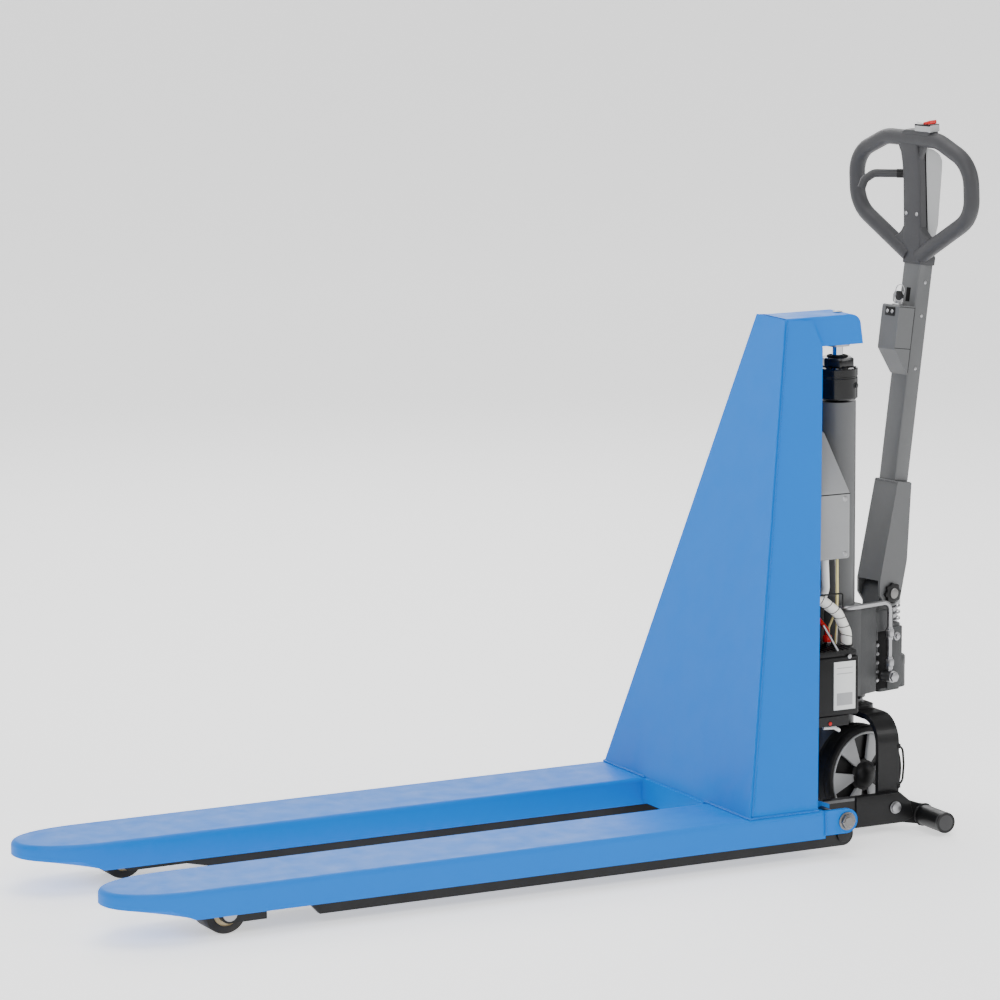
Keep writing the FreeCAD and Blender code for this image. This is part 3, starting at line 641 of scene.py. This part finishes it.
def build_wheels(settings):
    """Steered wheels with spoked rims, load rollers and small track rollers."""
    for side, word, body in ((-1, "left", "wheel_l"), (1, "right", "wheel_r")):
        flip = facing(side, (0, side * WHEEL_SIDE, WHEEL_HIGH))
        Shape("steer").lathe("y", (0, 0, 0), [(79.5, -20), (82, -22.4), (87, -21.5), (89.4, -17.5), (90, -10),
            (89.2, -9.2), (89.2, -7.8), (90, -7), (90, 7), (89.2, 7.8), (89.2, 9.2), (90, 10), (89.4, 17.5),
            (87, 21.5), (82, 22.4), (79.5, 20)], 96, flip).done("tyre_" + word, body, "tyre_rubber",
            ["steer_wheel_" + word], 25)
        rim = Shape("steer")
        rim.lathe("y", (0, 0, 0), [(79.6, 20.2), (79.6, -20.2), (78.6, -21.8), (76.6, -21.8), (75.2, -18),
            (73.5, -15.5), (73.5, 15.5), (75.2, 18), (76.6, 21.8), (78.6, 21.8)], 96, flip)
        Shape("steer").lathe("y", (0, 0, 0), [(29, -15.5), (25.5, -18.5), (11, -22), (10.2, -21), (10.2, 21),
            (11, 22), (21, 22), (24.5, 20.5), (28, 16)], 64, flip).done("wheel_hub_" + word, body,
            "black_plastic")
        count = settings.wheel_spokes
        for number in range(count):
            spin = flip @ rotation(360 * number / count + 25, "Y")
            rim.prism("XZ", [(-6, 24), (6, 24), (20, 71.6), (0, 74.6), (-20, 71.6)], -17.5, -10.5, 1.6, 3,
                spin)
            rim.prism("XZ", [(-3, 24), (3, 24), (3, 73.5), (-3, 73.5)], -10.5, 12, 0.8, 2, spin)
        rim.done("rim_" + word, body, "rim_grey", sharp=40)
        Shape("steer").lathe("y", (0, 0, 0), [(27, -8), (74, -8), (74, 8), (27, 8)], 64,
            flip).done("rim_web_" + word, body, "black_paint")
        Shape("steer").lathe("y", (0, 0, 0), [(0, -32.5), (7, -32), (14, -30), (19.5, -26.4), (22.6, -22),
            (24.5, -17.5), (25.5, -13), (12, -13), (12, -22), (0, -22)], 56, flip).done("hub_cap_" + word,
            body, "black_plastic", sharp=50)
    for side, word, body in ((-1, "left", "load_roller_l"), (1, "right", "load_roller_r")):
        centre = (ROLLER_X, side * 213, SHAFT_HIGH)
        Shape("truck").lathe("y", centre, [(24, -31), (33, -31), (36.4, -29.5), (37.5, -27), (37.5, 27),
            (36.4, 29.5), (33, 31), (24, 31)], 64).done("roller_tread_" + word, body, "roller_poly",
            ["load_roller_" + word], 25)
        Shape("truck").lathe("y", centre, [(9.1, -30), (13, -30.6), (15, -30.6), (16, -28.4), (22.5, -28.4),
            (24, -30.4), (24.2, -30.4), (24.2, 30.4), (24, 30.4), (22.5, 28.4), (16, 28.4), (15, 30.6),
            (13, 30.6), (9.1, 30)], 64).done("roller_hub_" + word, body, "roller_hub")


def build_cylinder(settings):
    """Lift cylinder with its collar, nut and rod, and the steering bearing."""
    Shape("steer").lathe("z", (0, 0, 0), [(15.3, 42), (15.3, 757), (33.9, 757), (33.9, 34), (32, 31), (0, 30),
        (0, 42)], 96).done("cylinder_tube", "steering_unit", "grey_paint", ["lift_cylinder"], 30)
    collar = Shape("steer")
    collar.lathe("z", (0, 0, 0), [(15.3, 757), (15.3, 814), (32, 814), (33.5, 816.3), (35.8, 816.5),
        (37, 815), (37, 803), (36, 802), (36, 800), (37, 799), (37, 763.5), (35.6, 761.4), (34, 761)], 96)
    for angle in (-150, -96, -42, 30):
        spot = rotation(angle - TURN, "Z")
        collar.block((30, 33.6), (-4, 4), (812, 819.5), 0.8, 2, spot)
    collar.done("cylinder_collar", "steering_unit", "gloss_black")
    nut = Shape("steer")
    nut.hexagon("z", (0, 0, 817), 18, 54)
    nut.lathe("z", (0, 0, 835), [(15.3, -1), (15.3, 0.6), (19, 0.6), (22, -0.4), (22, -1)], 48)
    nut.done("gland_nut_shape", "steering_unit", "gloss_black", ["gland_nut"])
    screw = Shape("steer")
    spot = rotation(-58 - TURN, "Z") @ Matrix.Translation((36.2, 0, 786))
    screw.rod("x", (0, 0, 0), 4.2, 4.4, 0.6, matrix=spot)
    screw.rod("x", (0, 0, 0), 1.2, 6.6, 0.4, matrix=spot)
    screw.done("bleed_screw", "steering_unit", "gloss_black")
    Shape("truck").lathe("z", (STEER_X, 0, 0), [(0, 46), (14, 46), (15, 48), (15, 832), (14, 836),
        (10, 837.5), (10, 860), (10, 864), (0, 864)], 64).done("rod_shape", "fork_frame", "chrome_rod",
        ["lift_rod"])
    Shape("steer").lathe("z", (0, 0, 0), [(15.3, 835), (19.5, 835), (18.4, 838.2), (15.3, 838.8)],
        48).done("wiper_seal", "steering_unit", "dark_gap")
    ring = Shape("truck")
    for number in range(settings.ring_bolts):
        angle = 2 * math.pi * (number + 0.5) / settings.ring_bolts
        ring.bolt("z", (STEER_X + 45.5 * math.cos(angle), 48 * math.sin(angle), 212), 8, 3.2)
    ring.done("bearing_bolts", "chassis", "zinc")


def build_pump(settings):
    """Pump block with its fittings, pipe, pipe unions and the cap of the spring."""
    body = Shape("steer")
    for z in (248, 264, 280, 296, 312):
        body.rod("y", (63, -44, z), 4, 3.4, 0.8)
    body.bolt("y", (112, -41, 322), 9, 3.2, -1)
    body.done("pump_fittings", "steering_unit", "zinc")
    # Dark block between the casting and the sleeve: painted shade for the shadow in the gap, not a real part.
    Shape("steer").block((58, 90), (-38.6, -25.5), (230, 337), 0.5).done("pump_recess", "steering_unit",
        "dark_gap")
    block = Shape("steer")
    block.prism("XY", [(6, -53.4), (58, -46), (58, -26), (6, -26)], 228, 386, 3, 3)
    block.block((56, 100), (-46, -32), (336, 374), 3, 3)
    block.prism("XZ", [(90, 228), (120, 228), (126, 236), (126, 340), (90, 340)], -41, -36, 1.5, 2)
    block.done("pump_casting", "steering_unit", "grey_cast", sharp=35)
    ribs = Shape("steer")
    for z in (250, 276, 302, 328):
        ribs.block((60, 66), (-41, -37.5), (z - 8, z + 8), 1)
    ribs.lathe("z", (SPRING_X, 0, 0), [(17.2, 277.6), (17.2, 279.5), (22.5, 279.5), (24.4, 276), (24.4, 262),
        (23.8, 261)], 48)
    ribs.done("pump_ribs", "steering_unit", "grey_cast")
    unions = Shape("steer")
    for spot in ((76, -60, 330), (76, -60, 276)):
        unions.hexagon("z", spot, 12, 15)
        unions.rod("z", (spot[0], spot[1], spot[2] - 6), 6, 6.4, 0.5)
        unions.rod("z", (spot[0], spot[1], spot[2] + 12), 4, 6.0, 0.5)
    unions.rod("y", (76, -71.5, 257), 24, 10.5, 1.5)
    unions.hexagon("y", (76, -76, 257), 6, 17)
    unions.done("pipe_unions", "steering_unit", "zinc")
    Shape("steer").tube([(-36, -30, 392), (-22, -56, 392), (0, -60, 392), (76, -60, 392), (76, -60, 257)],
        4.5, 15, 24).done("pipe_bend", "steering_unit", "zinc", ["pressure_pipe"], 40)
    Shape("steer").lathe("z", (SPRING_X, 0, 0), [(0, 380), (8, 380), (13.5, 379), (15, 377), (15, 374.5),
        (11, 372.5), (0, 372.5)], 48).done("spring_cap", "plunger", "zinc")


def build_tiller(settings):
    """Tilt pin ends, tube, bracket welds, slot, rivets, control box trim and keys."""
    pin = Shape("tiller")
    for side in (-1, 1):
        y = side * 36
        pin.rod("y", (0, min(y, y + side * 3), 0), 3, 9.4, 0.8)
    pin.done("tilt_pin_ends", "tiller", "zinc_dull")
    knob = Shape("tiller")
    for side in (-1, 1):
        knob.rod("y", (0, 30 if side > 0 else -37, 0), 7, 16.5, 2)
        for number in range(8):
            angle = math.pi * number / 4 + 0.2
            knob.rod("y", (15 * math.cos(angle), 31 if side > 0 else -36.5, 15 * math.sin(angle)), 5.5, 4.2,
                1.2)
    knob.done("tilt_pin_collars", "tiller", "black_plastic")
    line = [[(-15.5, side * 25.4, 199.5), (18.5, side * 25.4, 199.5)] for side in (-1, 1)]
    line.append([(-15.6, -20, 200), (-15.6, 20, 200)])
    repeat_along("weld_bracket", "tiller", line, blob(3, 2.1, 2.0), settings.weld_spacing, "tiller",
                 "grey_paint", 0.12, 0.5)
    tube = Shape("tiller")
    tube.block((-15, 19), (-21, 21), (200, 599.5), 3, 3)
    tube.block((-9, 19), (-25, 25), (172, 200.5), 1.5)
    tube.done("tube_shape", "tiller", "grey_paint", ["tiller_tube"])
    Shape("tiller").block((-15.4, -14.6), (-5, 5), (523, 548), 0.2).done("tube_slot", "tiller", "dark_gap")
    rivets = Shape("tiller")
    for s in (500, 405, 560):
        rivets.lathe("y", (4, -21, s), [(0, -1.7), (2.2, -1.4), (3.4, -0.3), (3.4, 0.4), (0, 0.4)], 24)
    for y in (-6, 6):
        rivets.lathe("x", (-55.6, y, 503), [(0, -1.3), (2.4, -1.0), (3.3, -0.2), (3.3, 0.4), (0, 0.4)], 24)
    rivets.lathe("z", (-36, 0, 515), [(8.4, 0), (11.4, 0), (11.8, 1.2), (10.8, 2.4), (8.4, 2.4)], 40)
    rivets.hexagon("z", (-36, 0, 515.1), 1.6, 20)
    rivets.done("tiller_screws", "tiller", "zinc")
    seams = Shape("tiller")
    for s in (438.5, 512.5):
        seams.block((-54.3, -15), (-22.25, -21.6), (s - 0.5, s + 0.5), 0.1)
    seams.block((-15.7, -15.0), (-22.3, -21.5), (396, 514), 0.1)
    seams.done("box_seams", "tiller", "dark_gap")
    Shape("tiller").block((-55.6, -53.6), (-12, 12), (495, 511), 1.2, 3).done("lock_plate", "tiller",
        "black_plastic")
    Shape("tiller").prism("YZ", [(-9, 527), (-4, 523.5), (4, 523.5), (9, 527), (10, 534), (6, 540.5),
        (-6, 540.5), (-10, 534)], -37.9, -34.1, 1.2, 3).done("key_bow", "key_body", "black_plastic")
    ring = Shape("tiller")
    loop = [(-36, 11 * math.cos(math.pi * n / 10), 541 + 11 * math.sin(math.pi * n / 10)) for n in range(20)]
    ring.tube(loop, 0.8, 3, 10, closed=True)
    ring.done("key_ring", "key_body", "zinc")
    Shape("tiller").prism("YZ", [(8, 539), (12, 539), (15, 533), (14.2, 521), (10.6, 519.4), (10.6, 529),
        (6, 532)], -38, -36.4, 0.4).done("spare_key", "key_body", "zinc")


def build_handle(settings):
    """Loop grip, head with its case, switch and lever."""
    loop = Shape("head")
    points = [(-7, 14, 8), (-7, 147, 88), (-7, 147, 182), (-7, 66, 219), (-7, -66, 219), (-7, -147, 182),
              (-7, -147, 88), (-7, -14, 8)]
    loop.tube(points, 14.4, 58, 32)
    loop.done("grip_loop", "tiller", "handle_plastic", ["handle_loop"], 40)
    webs = Shape("head")
    for side in (-1, 1):
        outline = [(side * 16, -2), (side * 16, 72), (side * 21, 62), (side * 28, 52), (side * 36, 45),
                   (side * 46, 40), (side * 50, 36), (side * 40, 20), (side * 22, 1)]
        webs.prism("YZ", outline, -15, 1, 3, 3)
    webs.prism("XZ", [(-16.5, -9), (20.5, -9), (21.5, 6), (16, 12), (-14, 12), (-17, 4)], -23, 23, 2, 2,
               rotation(11, "Y"))
    webs.rod("y", (12, 20, 66), 18, 9.5, 3)
    webs.done("handle_base", "tiller", "handle_plastic", sharp=35)
    spine = Shape("head")
    spine.prism("XZ", [(-18, -4), (14, -4), (10, 34), (4, 60), (4, 170), (2, 200), (-6, 214), (-12, 222),
                       (-19, 220), (-19, 203), (-15, 178), (-13, 150), (-15, 60)], -22, 22, 4, 4)
    spine.prism("YZ", [(-18, 168), (-23, 186), (-31, 202), (-34, 213), (34, 213), (31, 202), (23, 186),
        (18, 168)], -13, 0, 3, 3)
    spine.done("head_spine", "tiller", "handle_plastic", ["handle_head"], 35)
    Shape("head").prism("XZ", [(3, 46), (12, 32), (22, 34), (31, 60), (44, 160), (45, 176), (38, 188),
        (24, 197), (3, 203)], -24, 24, 5, 4).done("head_case", "tiller", "case_plastic", sharp=35)
    Shape("head").block((2.4, 3.4), (-22.8, 22.8), (50, 196), 0.2).done("case_seam", "tiller", "dark_gap")
    screws = Shape("head")
    for y in (-14, 13):
        screws.lathe("x", (-15, y, 84), [(0, -1.4), (2.6, -1.2), (3.6, -0.1), (3.6, 0.8), (0, 0.8)], 28)
    screws.done("head_screws", "tiller", "zinc")
    Shape("head").prism("YZ", [(-52, 226), (18, 226), (16, 233), (8, 236), (-52, 237), (-56, 232)], -19, 5, 3,
        3).done("switch_base", "tiller", "handle_plastic", ["switch_pod"], 35)
    Shape("head").prism("YZ", [(-58, 234), (-18, 234), (-17, 245), (-58, 246.2)], -19, 5, 1.6,
        3).done("switch_case", "tiller", "case_plastic", sharp=35)
    Shape("head").prism("YZ", [(-37, 246.8), (-20, 248.8), (-21, 252.6), (-37, 250.6)], -16, 2, 1.0,
        3).done("rocker_white", "rocker", "white_plastic", ["rocker_switch"])
    Shape("head").prism("YZ", [(-37.2, 246.8), (-54, 248.8), (-53, 255.2), (-37.2, 250.8)], -16, 2, 1.0,
        3).done("rocker_red", "rocker", "red_plastic")
    bezel = Shape("head")
    bezel.block((-19, -17.2), (-57, -18), (244.6, 247.6), 0.5)
    bezel.block((3.2, 5), (-57, -18), (244.6, 247.6), 0.5)
    bezel.done("rocker_bezel", "tiller", "black_plastic")
    lever = Shape("head")
    lever.tube([(8, 25, 150), (6, 40, 151), (-32, 76, 153), (-47, 85, 143), (-52, 88, 128)], 7.4, 14, 24)
    lever.lathe("y", (8, 24.4, 150), [(0, 0), (8.6, 0), (9.4, 1), (9.4, 8), (7, 10), (0, 10)], 36)
    lever.done("lowering_lever_shape", "lever", "handle_plastic", ["lowering_lever"], 40)
    Shape("head").tube([(7.2, 31, 150.4), (6, 40, 151), (-2, 48, 151.4)], 8.2, 6, 24).done("lever_root",
        "lever", "black_plastic", sharp=40)


def build_power_unit(settings):
    """Cover, battery, controller box, terminals and wiring."""
    Shape("truck").prism("YZ", [(-112, 493), (112, 493), (112, 611), (22, 707), (-22, 707), (-112, 611)], -28,
        99, 5, 4).done("cover_shell", "chassis", "cover_paint", ["power_cover"], 35)
    seam = Shape("truck")
    seam.block((-27, 98), (-112.4, -111.4), (608.5, 610), 0.2)
    for number in range(settings.vent_slots):
        low = 520 + number * 9
        seam.block((98.4, 99.4), (-92, -46), (low, low + 3.2), 0.3)
        seam.block((98.4, 99.4), (46, 92), (low, low + 3.2), 0.3)
    seam.done("cover_vents", "chassis", "dark_gap")
    screws = Shape("truck")
    for x in (-18, 88):
        for z in (502, 600):
            screws.lathe("y", (x, -112, z), [(0, -1.6), (3.2, -1.3), (4.8, 0), (4.8, 0.5), (0, 0.5)], 28)
            screws.lathe("y", (x, 112, z), [(0, 1.6), (3.2, 1.3), (4.8, 0), (4.8, -0.5), (0, -0.5)], 28)
    screws.block((-34, -28), (-60, -40), (494, 500), 0.5)
    screws.done("cover_screws", "chassis", "zinc")
    pack = Shape("truck")
    pack.block((-38, 72), (-70, 70), (214.2, 430), 4, steps=3)
    pack.block((-34, 68), (-66, 66), (430, 492.6), 2)
    for z in (262, 300, 338, 376):
        pack.block((-36, 70), (-71.2, -69.6), (z, z + 4), 0.6)
    pack.done("battery_shape", "chassis", "black_plastic", ["battery_pack"])
    controller = Shape("truck")
    controller.block((-8, 96), (-150, -78), (221, 326), 4, steps=3)
    controller.block((-5, 93), (-147, -81), (326, 337), 2.5)
    for number in range(settings.fins):
        x = 4 + number * 9
        controller.block((x, x + 3), (-143, -85), (334, 339), 0.5)
    controller.done("controller_shape", "chassis", "black_plastic", ["charger_box"])
    Shape("truck").block((44, 88), (-150.5, -149.8), (232, 318), 0.2).done("controller_label", "chassis",
        "label_sheet")
    lines = Shape("truck")
    for z in (306, 296):
        lines.block((50, 82), (-150.7, -150.3), (z, z + 1.4), 0.1)
    lines.block((50, 82), (-150.7, -150.3), (240, 262), 0.1)
    lines.done("controller_marks", "chassis", "case_plastic")
    posts = Shape("truck")
    for x, y in ((24, -96), (60, -100)):
        posts.rod("z", (x, y, 337), 9, 5, 0.6)
        posts.hexagon("z", (x, y, 342), 5, 13)
    posts.rod("y", (76, -150.6, 326), 3, 4, 0.4)
    posts.rod("y", (8, -150.6, 326), 3, 4, 0.4)
    posts.tube([(24, -146, 386), (54, -146, 338)], 2.0, 5, 14)
    posts.done("terminal_posts", "chassis", "zinc")
    red = Shape("truck")
    red.rod("z", (60, -100, 345), 12, 8, 1.6)
    red.tube([(60, -100, 352), (60, -100, 366), (44, -84, 392), (36, -72, 424)], 4.2, 14, 18)
    red.rod("y", (37, -151.2, 209), 3, 3.4, 0.8)
    red.done("red_terminal", "chassis", "red_plastic")
    black = Shape("truck")
    black.tube([(24, -96, 346), (24, -96, 372), (10, -80, 404), (0, -72, 430)], 4.2, 16, 18)
    black.rod("y", (37, -150.4, 209), 2, 5.4, 0.6)
    for x in (-2, 90):
        black.rod("z", (x, -115, 336), 5, 12.5, 1.2)
    black.tube([(96, -150, 250), (104, -146, 250), (104, -120, 240), (92, -100, 222)], 2.6, 8, 14)
    black.done("black_leads", "chassis", "black_plastic")
    Shape("truck").tube(HARNESS, 9.6, 24, 32).done("harness_core", "chassis", "white_wrap", ["harness_loop"],
        60)
    wrap_spiral(settings)
    feed = Shape("truck")
    feed.tube([(58, -92, 493), (58, -96, 440), (46, -100, 414)], 7.5, 20, 24)
    feed.tube([(30, -138, 200), (52, -138, 199), (64, -136, 192)], 3.4, 10, 16)
    feed.done("white_feeds", "chassis", "white_plastic", sharp=60)
    Shape("truck").tube([(20, -122, 434), (78, -122, 434), (78, -122, 410)], 1.6, 4, 10).done("wire_frame",
        "chassis", "black_plastic", sharp=60)
    yellow = Shape("truck")
    yellow.tube([(86, -88, 493), (86, -88, 400), (70, -88, 368), (70, -88, 337)], 2.1, 20, 14)
    yellow.tube([(92, -80, 493), (92, -82, 430), (84, -92, 380), (80, -94, 337)], 1.6, 16, 14)
    yellow.done("yellow_leads", "chassis", "wire_yellow", ["signal_wire"], 60)
    Shape("truck").tube([(94, -70, 493), (94, -74, 420), (88, -86, 384), (84, -90, 337)], 1.7, 16,
        14).done("white_lead", "chassis", "white_plastic", sharp=60)



def wrap_spiral(settings):
    """The thin dark gap of the band wound round the harness."""
    path = bent(HARNESS, 24)
    dense = []
    for first, second in zip(path, path[1:]):
        steps = max(1, int((second - first).length / 0.7))
        dense += [first.lerp(second, k / steps) for k in range(steps)]
    walked, line, last = 0.0, [], dense[0]
    for spot, following in zip(dense, dense[1:]):
        walked += (spot - last).length
        last = spot
        ahead = (following - spot).normalized()
        side = Vector((0, 1, 0))
        up = side.cross(ahead)
        angle = 2 * math.pi * walked / settings.wrap_pitch
        line.append(spot + 9.5 * (side * math.cos(angle) + up * math.sin(angle)))
    Shape("truck").tube(line, 0.75, 0.2, 8).done("harness_wrap", "chassis", "dark_gap", sharp=60)


def build_chassis(settings):
    """Bolts of the side bars, foot caps, arch flange, cable clips and the arch cable."""
    bolts = side_rods((172, 152, 44), (-1.2, 1.6, 11, 0.4), (-5.4, 4.6, 9.6, 1.6))
    bolts.done("arch_bolts", "chassis", "zinc")
    caps = Shape("truck")
    for side in (-1, 1):
        spot = facing(side, (FOOT[0], side * 222, FOOT[1]))
        caps.lathe("y", (0, 0, 0), [(0, -0.4), (13, -0.2), (16, 0.4), (17.8, 2), (18.9, 2.4), (18.9, 5.4),
            (0, 5.4)], 48, spot)
    caps.done("foot_caps", "chassis", "foot_plastic")
    flange = Shape("truck")
    for side in (-1, 1):
        low, high = sorted((side * 146.5, side * 150.4))
        flange.prism("XZ", [(92, 16), (190, 15), (212, 22), (204, 51), (183, 70), (92, 70)], low, high, 1.4,
            3)
    flange.done("arch_flange", "chassis", "black_paint", sharp=35)
    # Grey strip along the top edge of the black side bar: a painted highlight of the lit edge, not a real
    # rail.
    top_edge_highlight = Shape("truck")
    for side in (-1, 1):
        low, high = sorted((side * 146.5, side * 148.2))
        top_edge_highlight.block((-8, 90), (low, high), (64, 69.5), 0.8)
    top_edge_highlight.done("bar_rail", "chassis", "grey_paint")
    rods = Shape("truck")
    for side in (-1, 1):
        rods.rod("y", (0, side * 261 - 1, SHAFT_HIGH), 2, 13, 0.4)
    rods.done("shaft_clips", "chassis", "black_paint")
    for side, word in ((-1, "left"), (1, "right")):
        ring = [(FOOT[0] + 19 * math.cos(a), side * 148, FOOT[1] + 19 * math.sin(a))
                for a in (2 * math.pi * n / 24 for n in range(25))]
        repeat_along("weld_foot_" + word, "truck", [ring], blob(2.6, 2.2, 2.2), settings.weld_spacing,
            "chassis", "black_paint", 0.12, 0.5)
    clips = Shape("truck")
    for z in (150, 78):
        clips.block((186, 192), (-136.4, -122), (z - 4, z + 4), 0.8)
    clips.done("cable_clips", "chassis", "black_plastic")
    Shape("truck").tube([(188, -129, 152), (200, -129, 144), (202.5, -129, 114), (200, -129, 84),
        (188, -129, 76)], 2, 22, 16).done("arch_bow", "chassis", "black_plastic", ["arch_cable"], 40)


def build_arms(settings):
    """Collars of the cross pins and roller axles."""
    pins = side_rods(CROSS_PIN, (-261.5, 3, 14, 0.6), (-117.2, 1.4, 13, 0.3))
    pins.done("cross_pin_collars", "hinged_arms", "zinc")
    ends = side_rods((ROLLER_X, 0, SHAFT_HIGH), (-259.4, 3, 13, 0.6), (-247.6, 2.8, 14, 0.4),
                     (-181.6, 2.8, 14, 0.4))
    ends.done("roller_axle_collars", "roller_arms", "zinc")


# ---- stage -------------------------------------------------------------------------------------
def build_stage(settings):
    """Pale floor, soft lights and the camera."""
    floor = bpy.data.meshes.new("floor")
    profile = [(-16, -0.0005), (7, -0.0005)]
    profile += [(7 + 4 * math.sin(a),
        4 - 4 * math.cos(a) - 0.0005) for a in (math.pi * k / 24 for k in range(1, 13))]
    profile.append((11, 16))
    wide = 30
    spots = [(x, y, z) for y, z in profile for x in (-wide, wide)]
    faces = [(2 * k, 2 * k + 1, 2 * k + 3, 2 * k + 2) for k in range(len(profile) - 1)]
    floor.from_pydata(spots, [], faces)
    floor.polygons.foreach_set("use_smooth", [True] * len(faces))
    material = bpy.data.materials.new("floor")
    material.use_nodes = True
    shader = material.node_tree.nodes["Principled BSDF"]
    shader.inputs["Base Color"].default_value = (0.88, 0.88, 0.88, 1)
    shader.inputs["Roughness"].default_value = 0.7
    shader.inputs["Emission Color"].default_value = (1, 1, 1, 1)
    shader.inputs["Emission Strength"].default_value = settings.floor_glow
    floor.materials.append(material)
    show("floor", floor)
    world = bpy.data.worlds.new("studio")
    world.use_nodes = True
    sky = world.node_tree.nodes["Background"]
    sky.inputs["Color"].default_value = (1, 1, 1, 1)
    sky.inputs["Strength"].default_value = settings.room_light
    bpy.context.scene.world = world
    for name, spot, size, power in (("key", (-2.6, -3.2, 3.4), 2.4, 120), ("fill", (3.6, -2.6, 2.2), 2.0, 60),
                                    ("top", (0.2, 0.6, 4.2), 3.0, 130), ("back", (1.5, 3.6, 2.6), 2.2, 50)):
        lamp = bpy.data.lights.new(name, "AREA")
        lamp.size = size
        lamp.energy = power
        item = show(name, lamp)
        item.location = spot
        item.rotation_euler = (Vector((0.1, 0, 0.4)) - Vector(spot)).to_track_quat("-Z", "Y").to_euler()
    camera = bpy.data.cameras.new("camera")
    camera.lens = 181.5
    camera.sensor_width = 36
    camera.shift_x = -0.0697
    camera.shift_y = -0.0727
    camera.clip_end = 60
    eye = show("camera", camera)
    eye.location = ((-4434.4 + SHIFT) * MM, -7.5918, 2.0948)
    eye.rotation_euler = (math.radians(81.1), math.radians(0.1), math.radians(-28.0))
    bpy.context.scene.camera = eye


# ---- add-on ------------------------------------------------------------------------------------
class TruckSettings(bpy.types.PropertyGroup):
    """Sizes and counts that a user may change."""
    edge_round: FloatProperty(name="Edge rounding", description="Rounding of the steel edges in mm",
                              default=0.9, min=0.2, max=2.0)
    fork_round: FloatProperty(name="Fork rounding", description="Rounding of the fork's top edge in mm",
                              default=9.0, min=2.0, max=14.0)
    weld_spacing: FloatProperty(name="Weld spacing", description="Distance between weld ripples in mm",
                                default=3.0, min=2.0, max=8.0)
    wheel_spokes: IntProperty(name="Wheel spokes", description="Spokes of each steered wheel", default=6,
                              min=3, max=10)
    ring_bolts: IntProperty(name="Ring bolts", description="Bolts of the steering bearing", default=6,
                            min=3, max=12)
    vent_slots: IntProperty(name="Vent slots", description="Slots in each vent of the cover", default=8,
                            min=2, max=9)
    fins: IntProperty(name="Fins", description="Cooling fins of the controller", default=9, min=2, max=9)
    wrap_pitch: FloatProperty(name="Wrap pitch", description="Pitch of the harness wrap in mm", default=18.0,
                              min=6.0, max=40.0)
    room_light: FloatProperty(name="Room light", description="Strength of the even room light", default=0.5,
                              min=0.0, max=3.0)
    floor_glow: FloatProperty(name="Floor glow", description="Brightness added to the pale floor",
        default=0.8, min=0.0, max=3.0)


STEPS = (
    ("forks", "Forks", build_forks),
    ("frame_details", "Tower and fork details", build_frame_details),
    ("wheels", "Wheels and rollers", build_wheels),
    ("cylinder", "Lift cylinder", build_cylinder),
    ("pump", "Pump and pipe", build_pump),
    ("tiller", "Tiller", build_tiller),
    ("handle", "Handle", build_handle),
    ("power_unit", "Power unit and wiring", build_power_unit),
    ("chassis", "Chassis", build_chassis),
    ("arms", "Scissor arms", build_arms),
    ("stage", "Stage", build_stage),
)


def make_operator(key, label, build):
    """An operator that runs one build function."""
    def execute(self, context):
        build(context.scene.truck_settings)
        return {"FINISHED"}

    return type("TRUCK_OT_" + key, (bpy.types.Operator,), {
        "__doc__": build.__doc__, "bl_idname": "truck." + key, "bl_label": label,
        "bl_options": {"REGISTER", "UNDO"}, "execute": execute})


class TRUCK_PT_panel(bpy.types.Panel):
    """Settings and build buttons"""
    bl_label = "Pallet truck"
    bl_idname = "TRUCK_PT_panel"
    bl_space_type = "VIEW_3D"
    bl_region_type = "UI"
    bl_category = "Pallet truck"

    def draw(self, context):
        settings = context.scene.truck_settings
        for name in TruckSettings.__annotations__:
            self.layout.prop(settings, name)
        for key, label, _ in STEPS:
            self.layout.operator("truck." + key, text=label)


OPERATORS = [make_operator(*step) for step in STEPS]
CLASSES = [TruckSettings] + OPERATORS + [TRUCK_PT_panel]


def register():
    for item in CLASSES:
        bpy.utils.register_class(item)
    bpy.types.Scene.truck_settings = PointerProperty(type=TruckSettings)


def unregister():
    del bpy.types.Scene.truck_settings
    for item in reversed(CLASSES):
        bpy.utils.unregister_class(item)


def main():
    """Registers the classes, builds every piece in order and writes the two boxes."""
    register()
    make_finishes()
    coat_frame(bpy.context.scene.truck_settings.edge_round)
    for key, _, _ in STEPS:
        if getattr(bpy.ops.truck, key)() != {"FINISHED"}:
            raise RuntimeError(key + " did not finish")


if __name__ == "__main__":
    main()
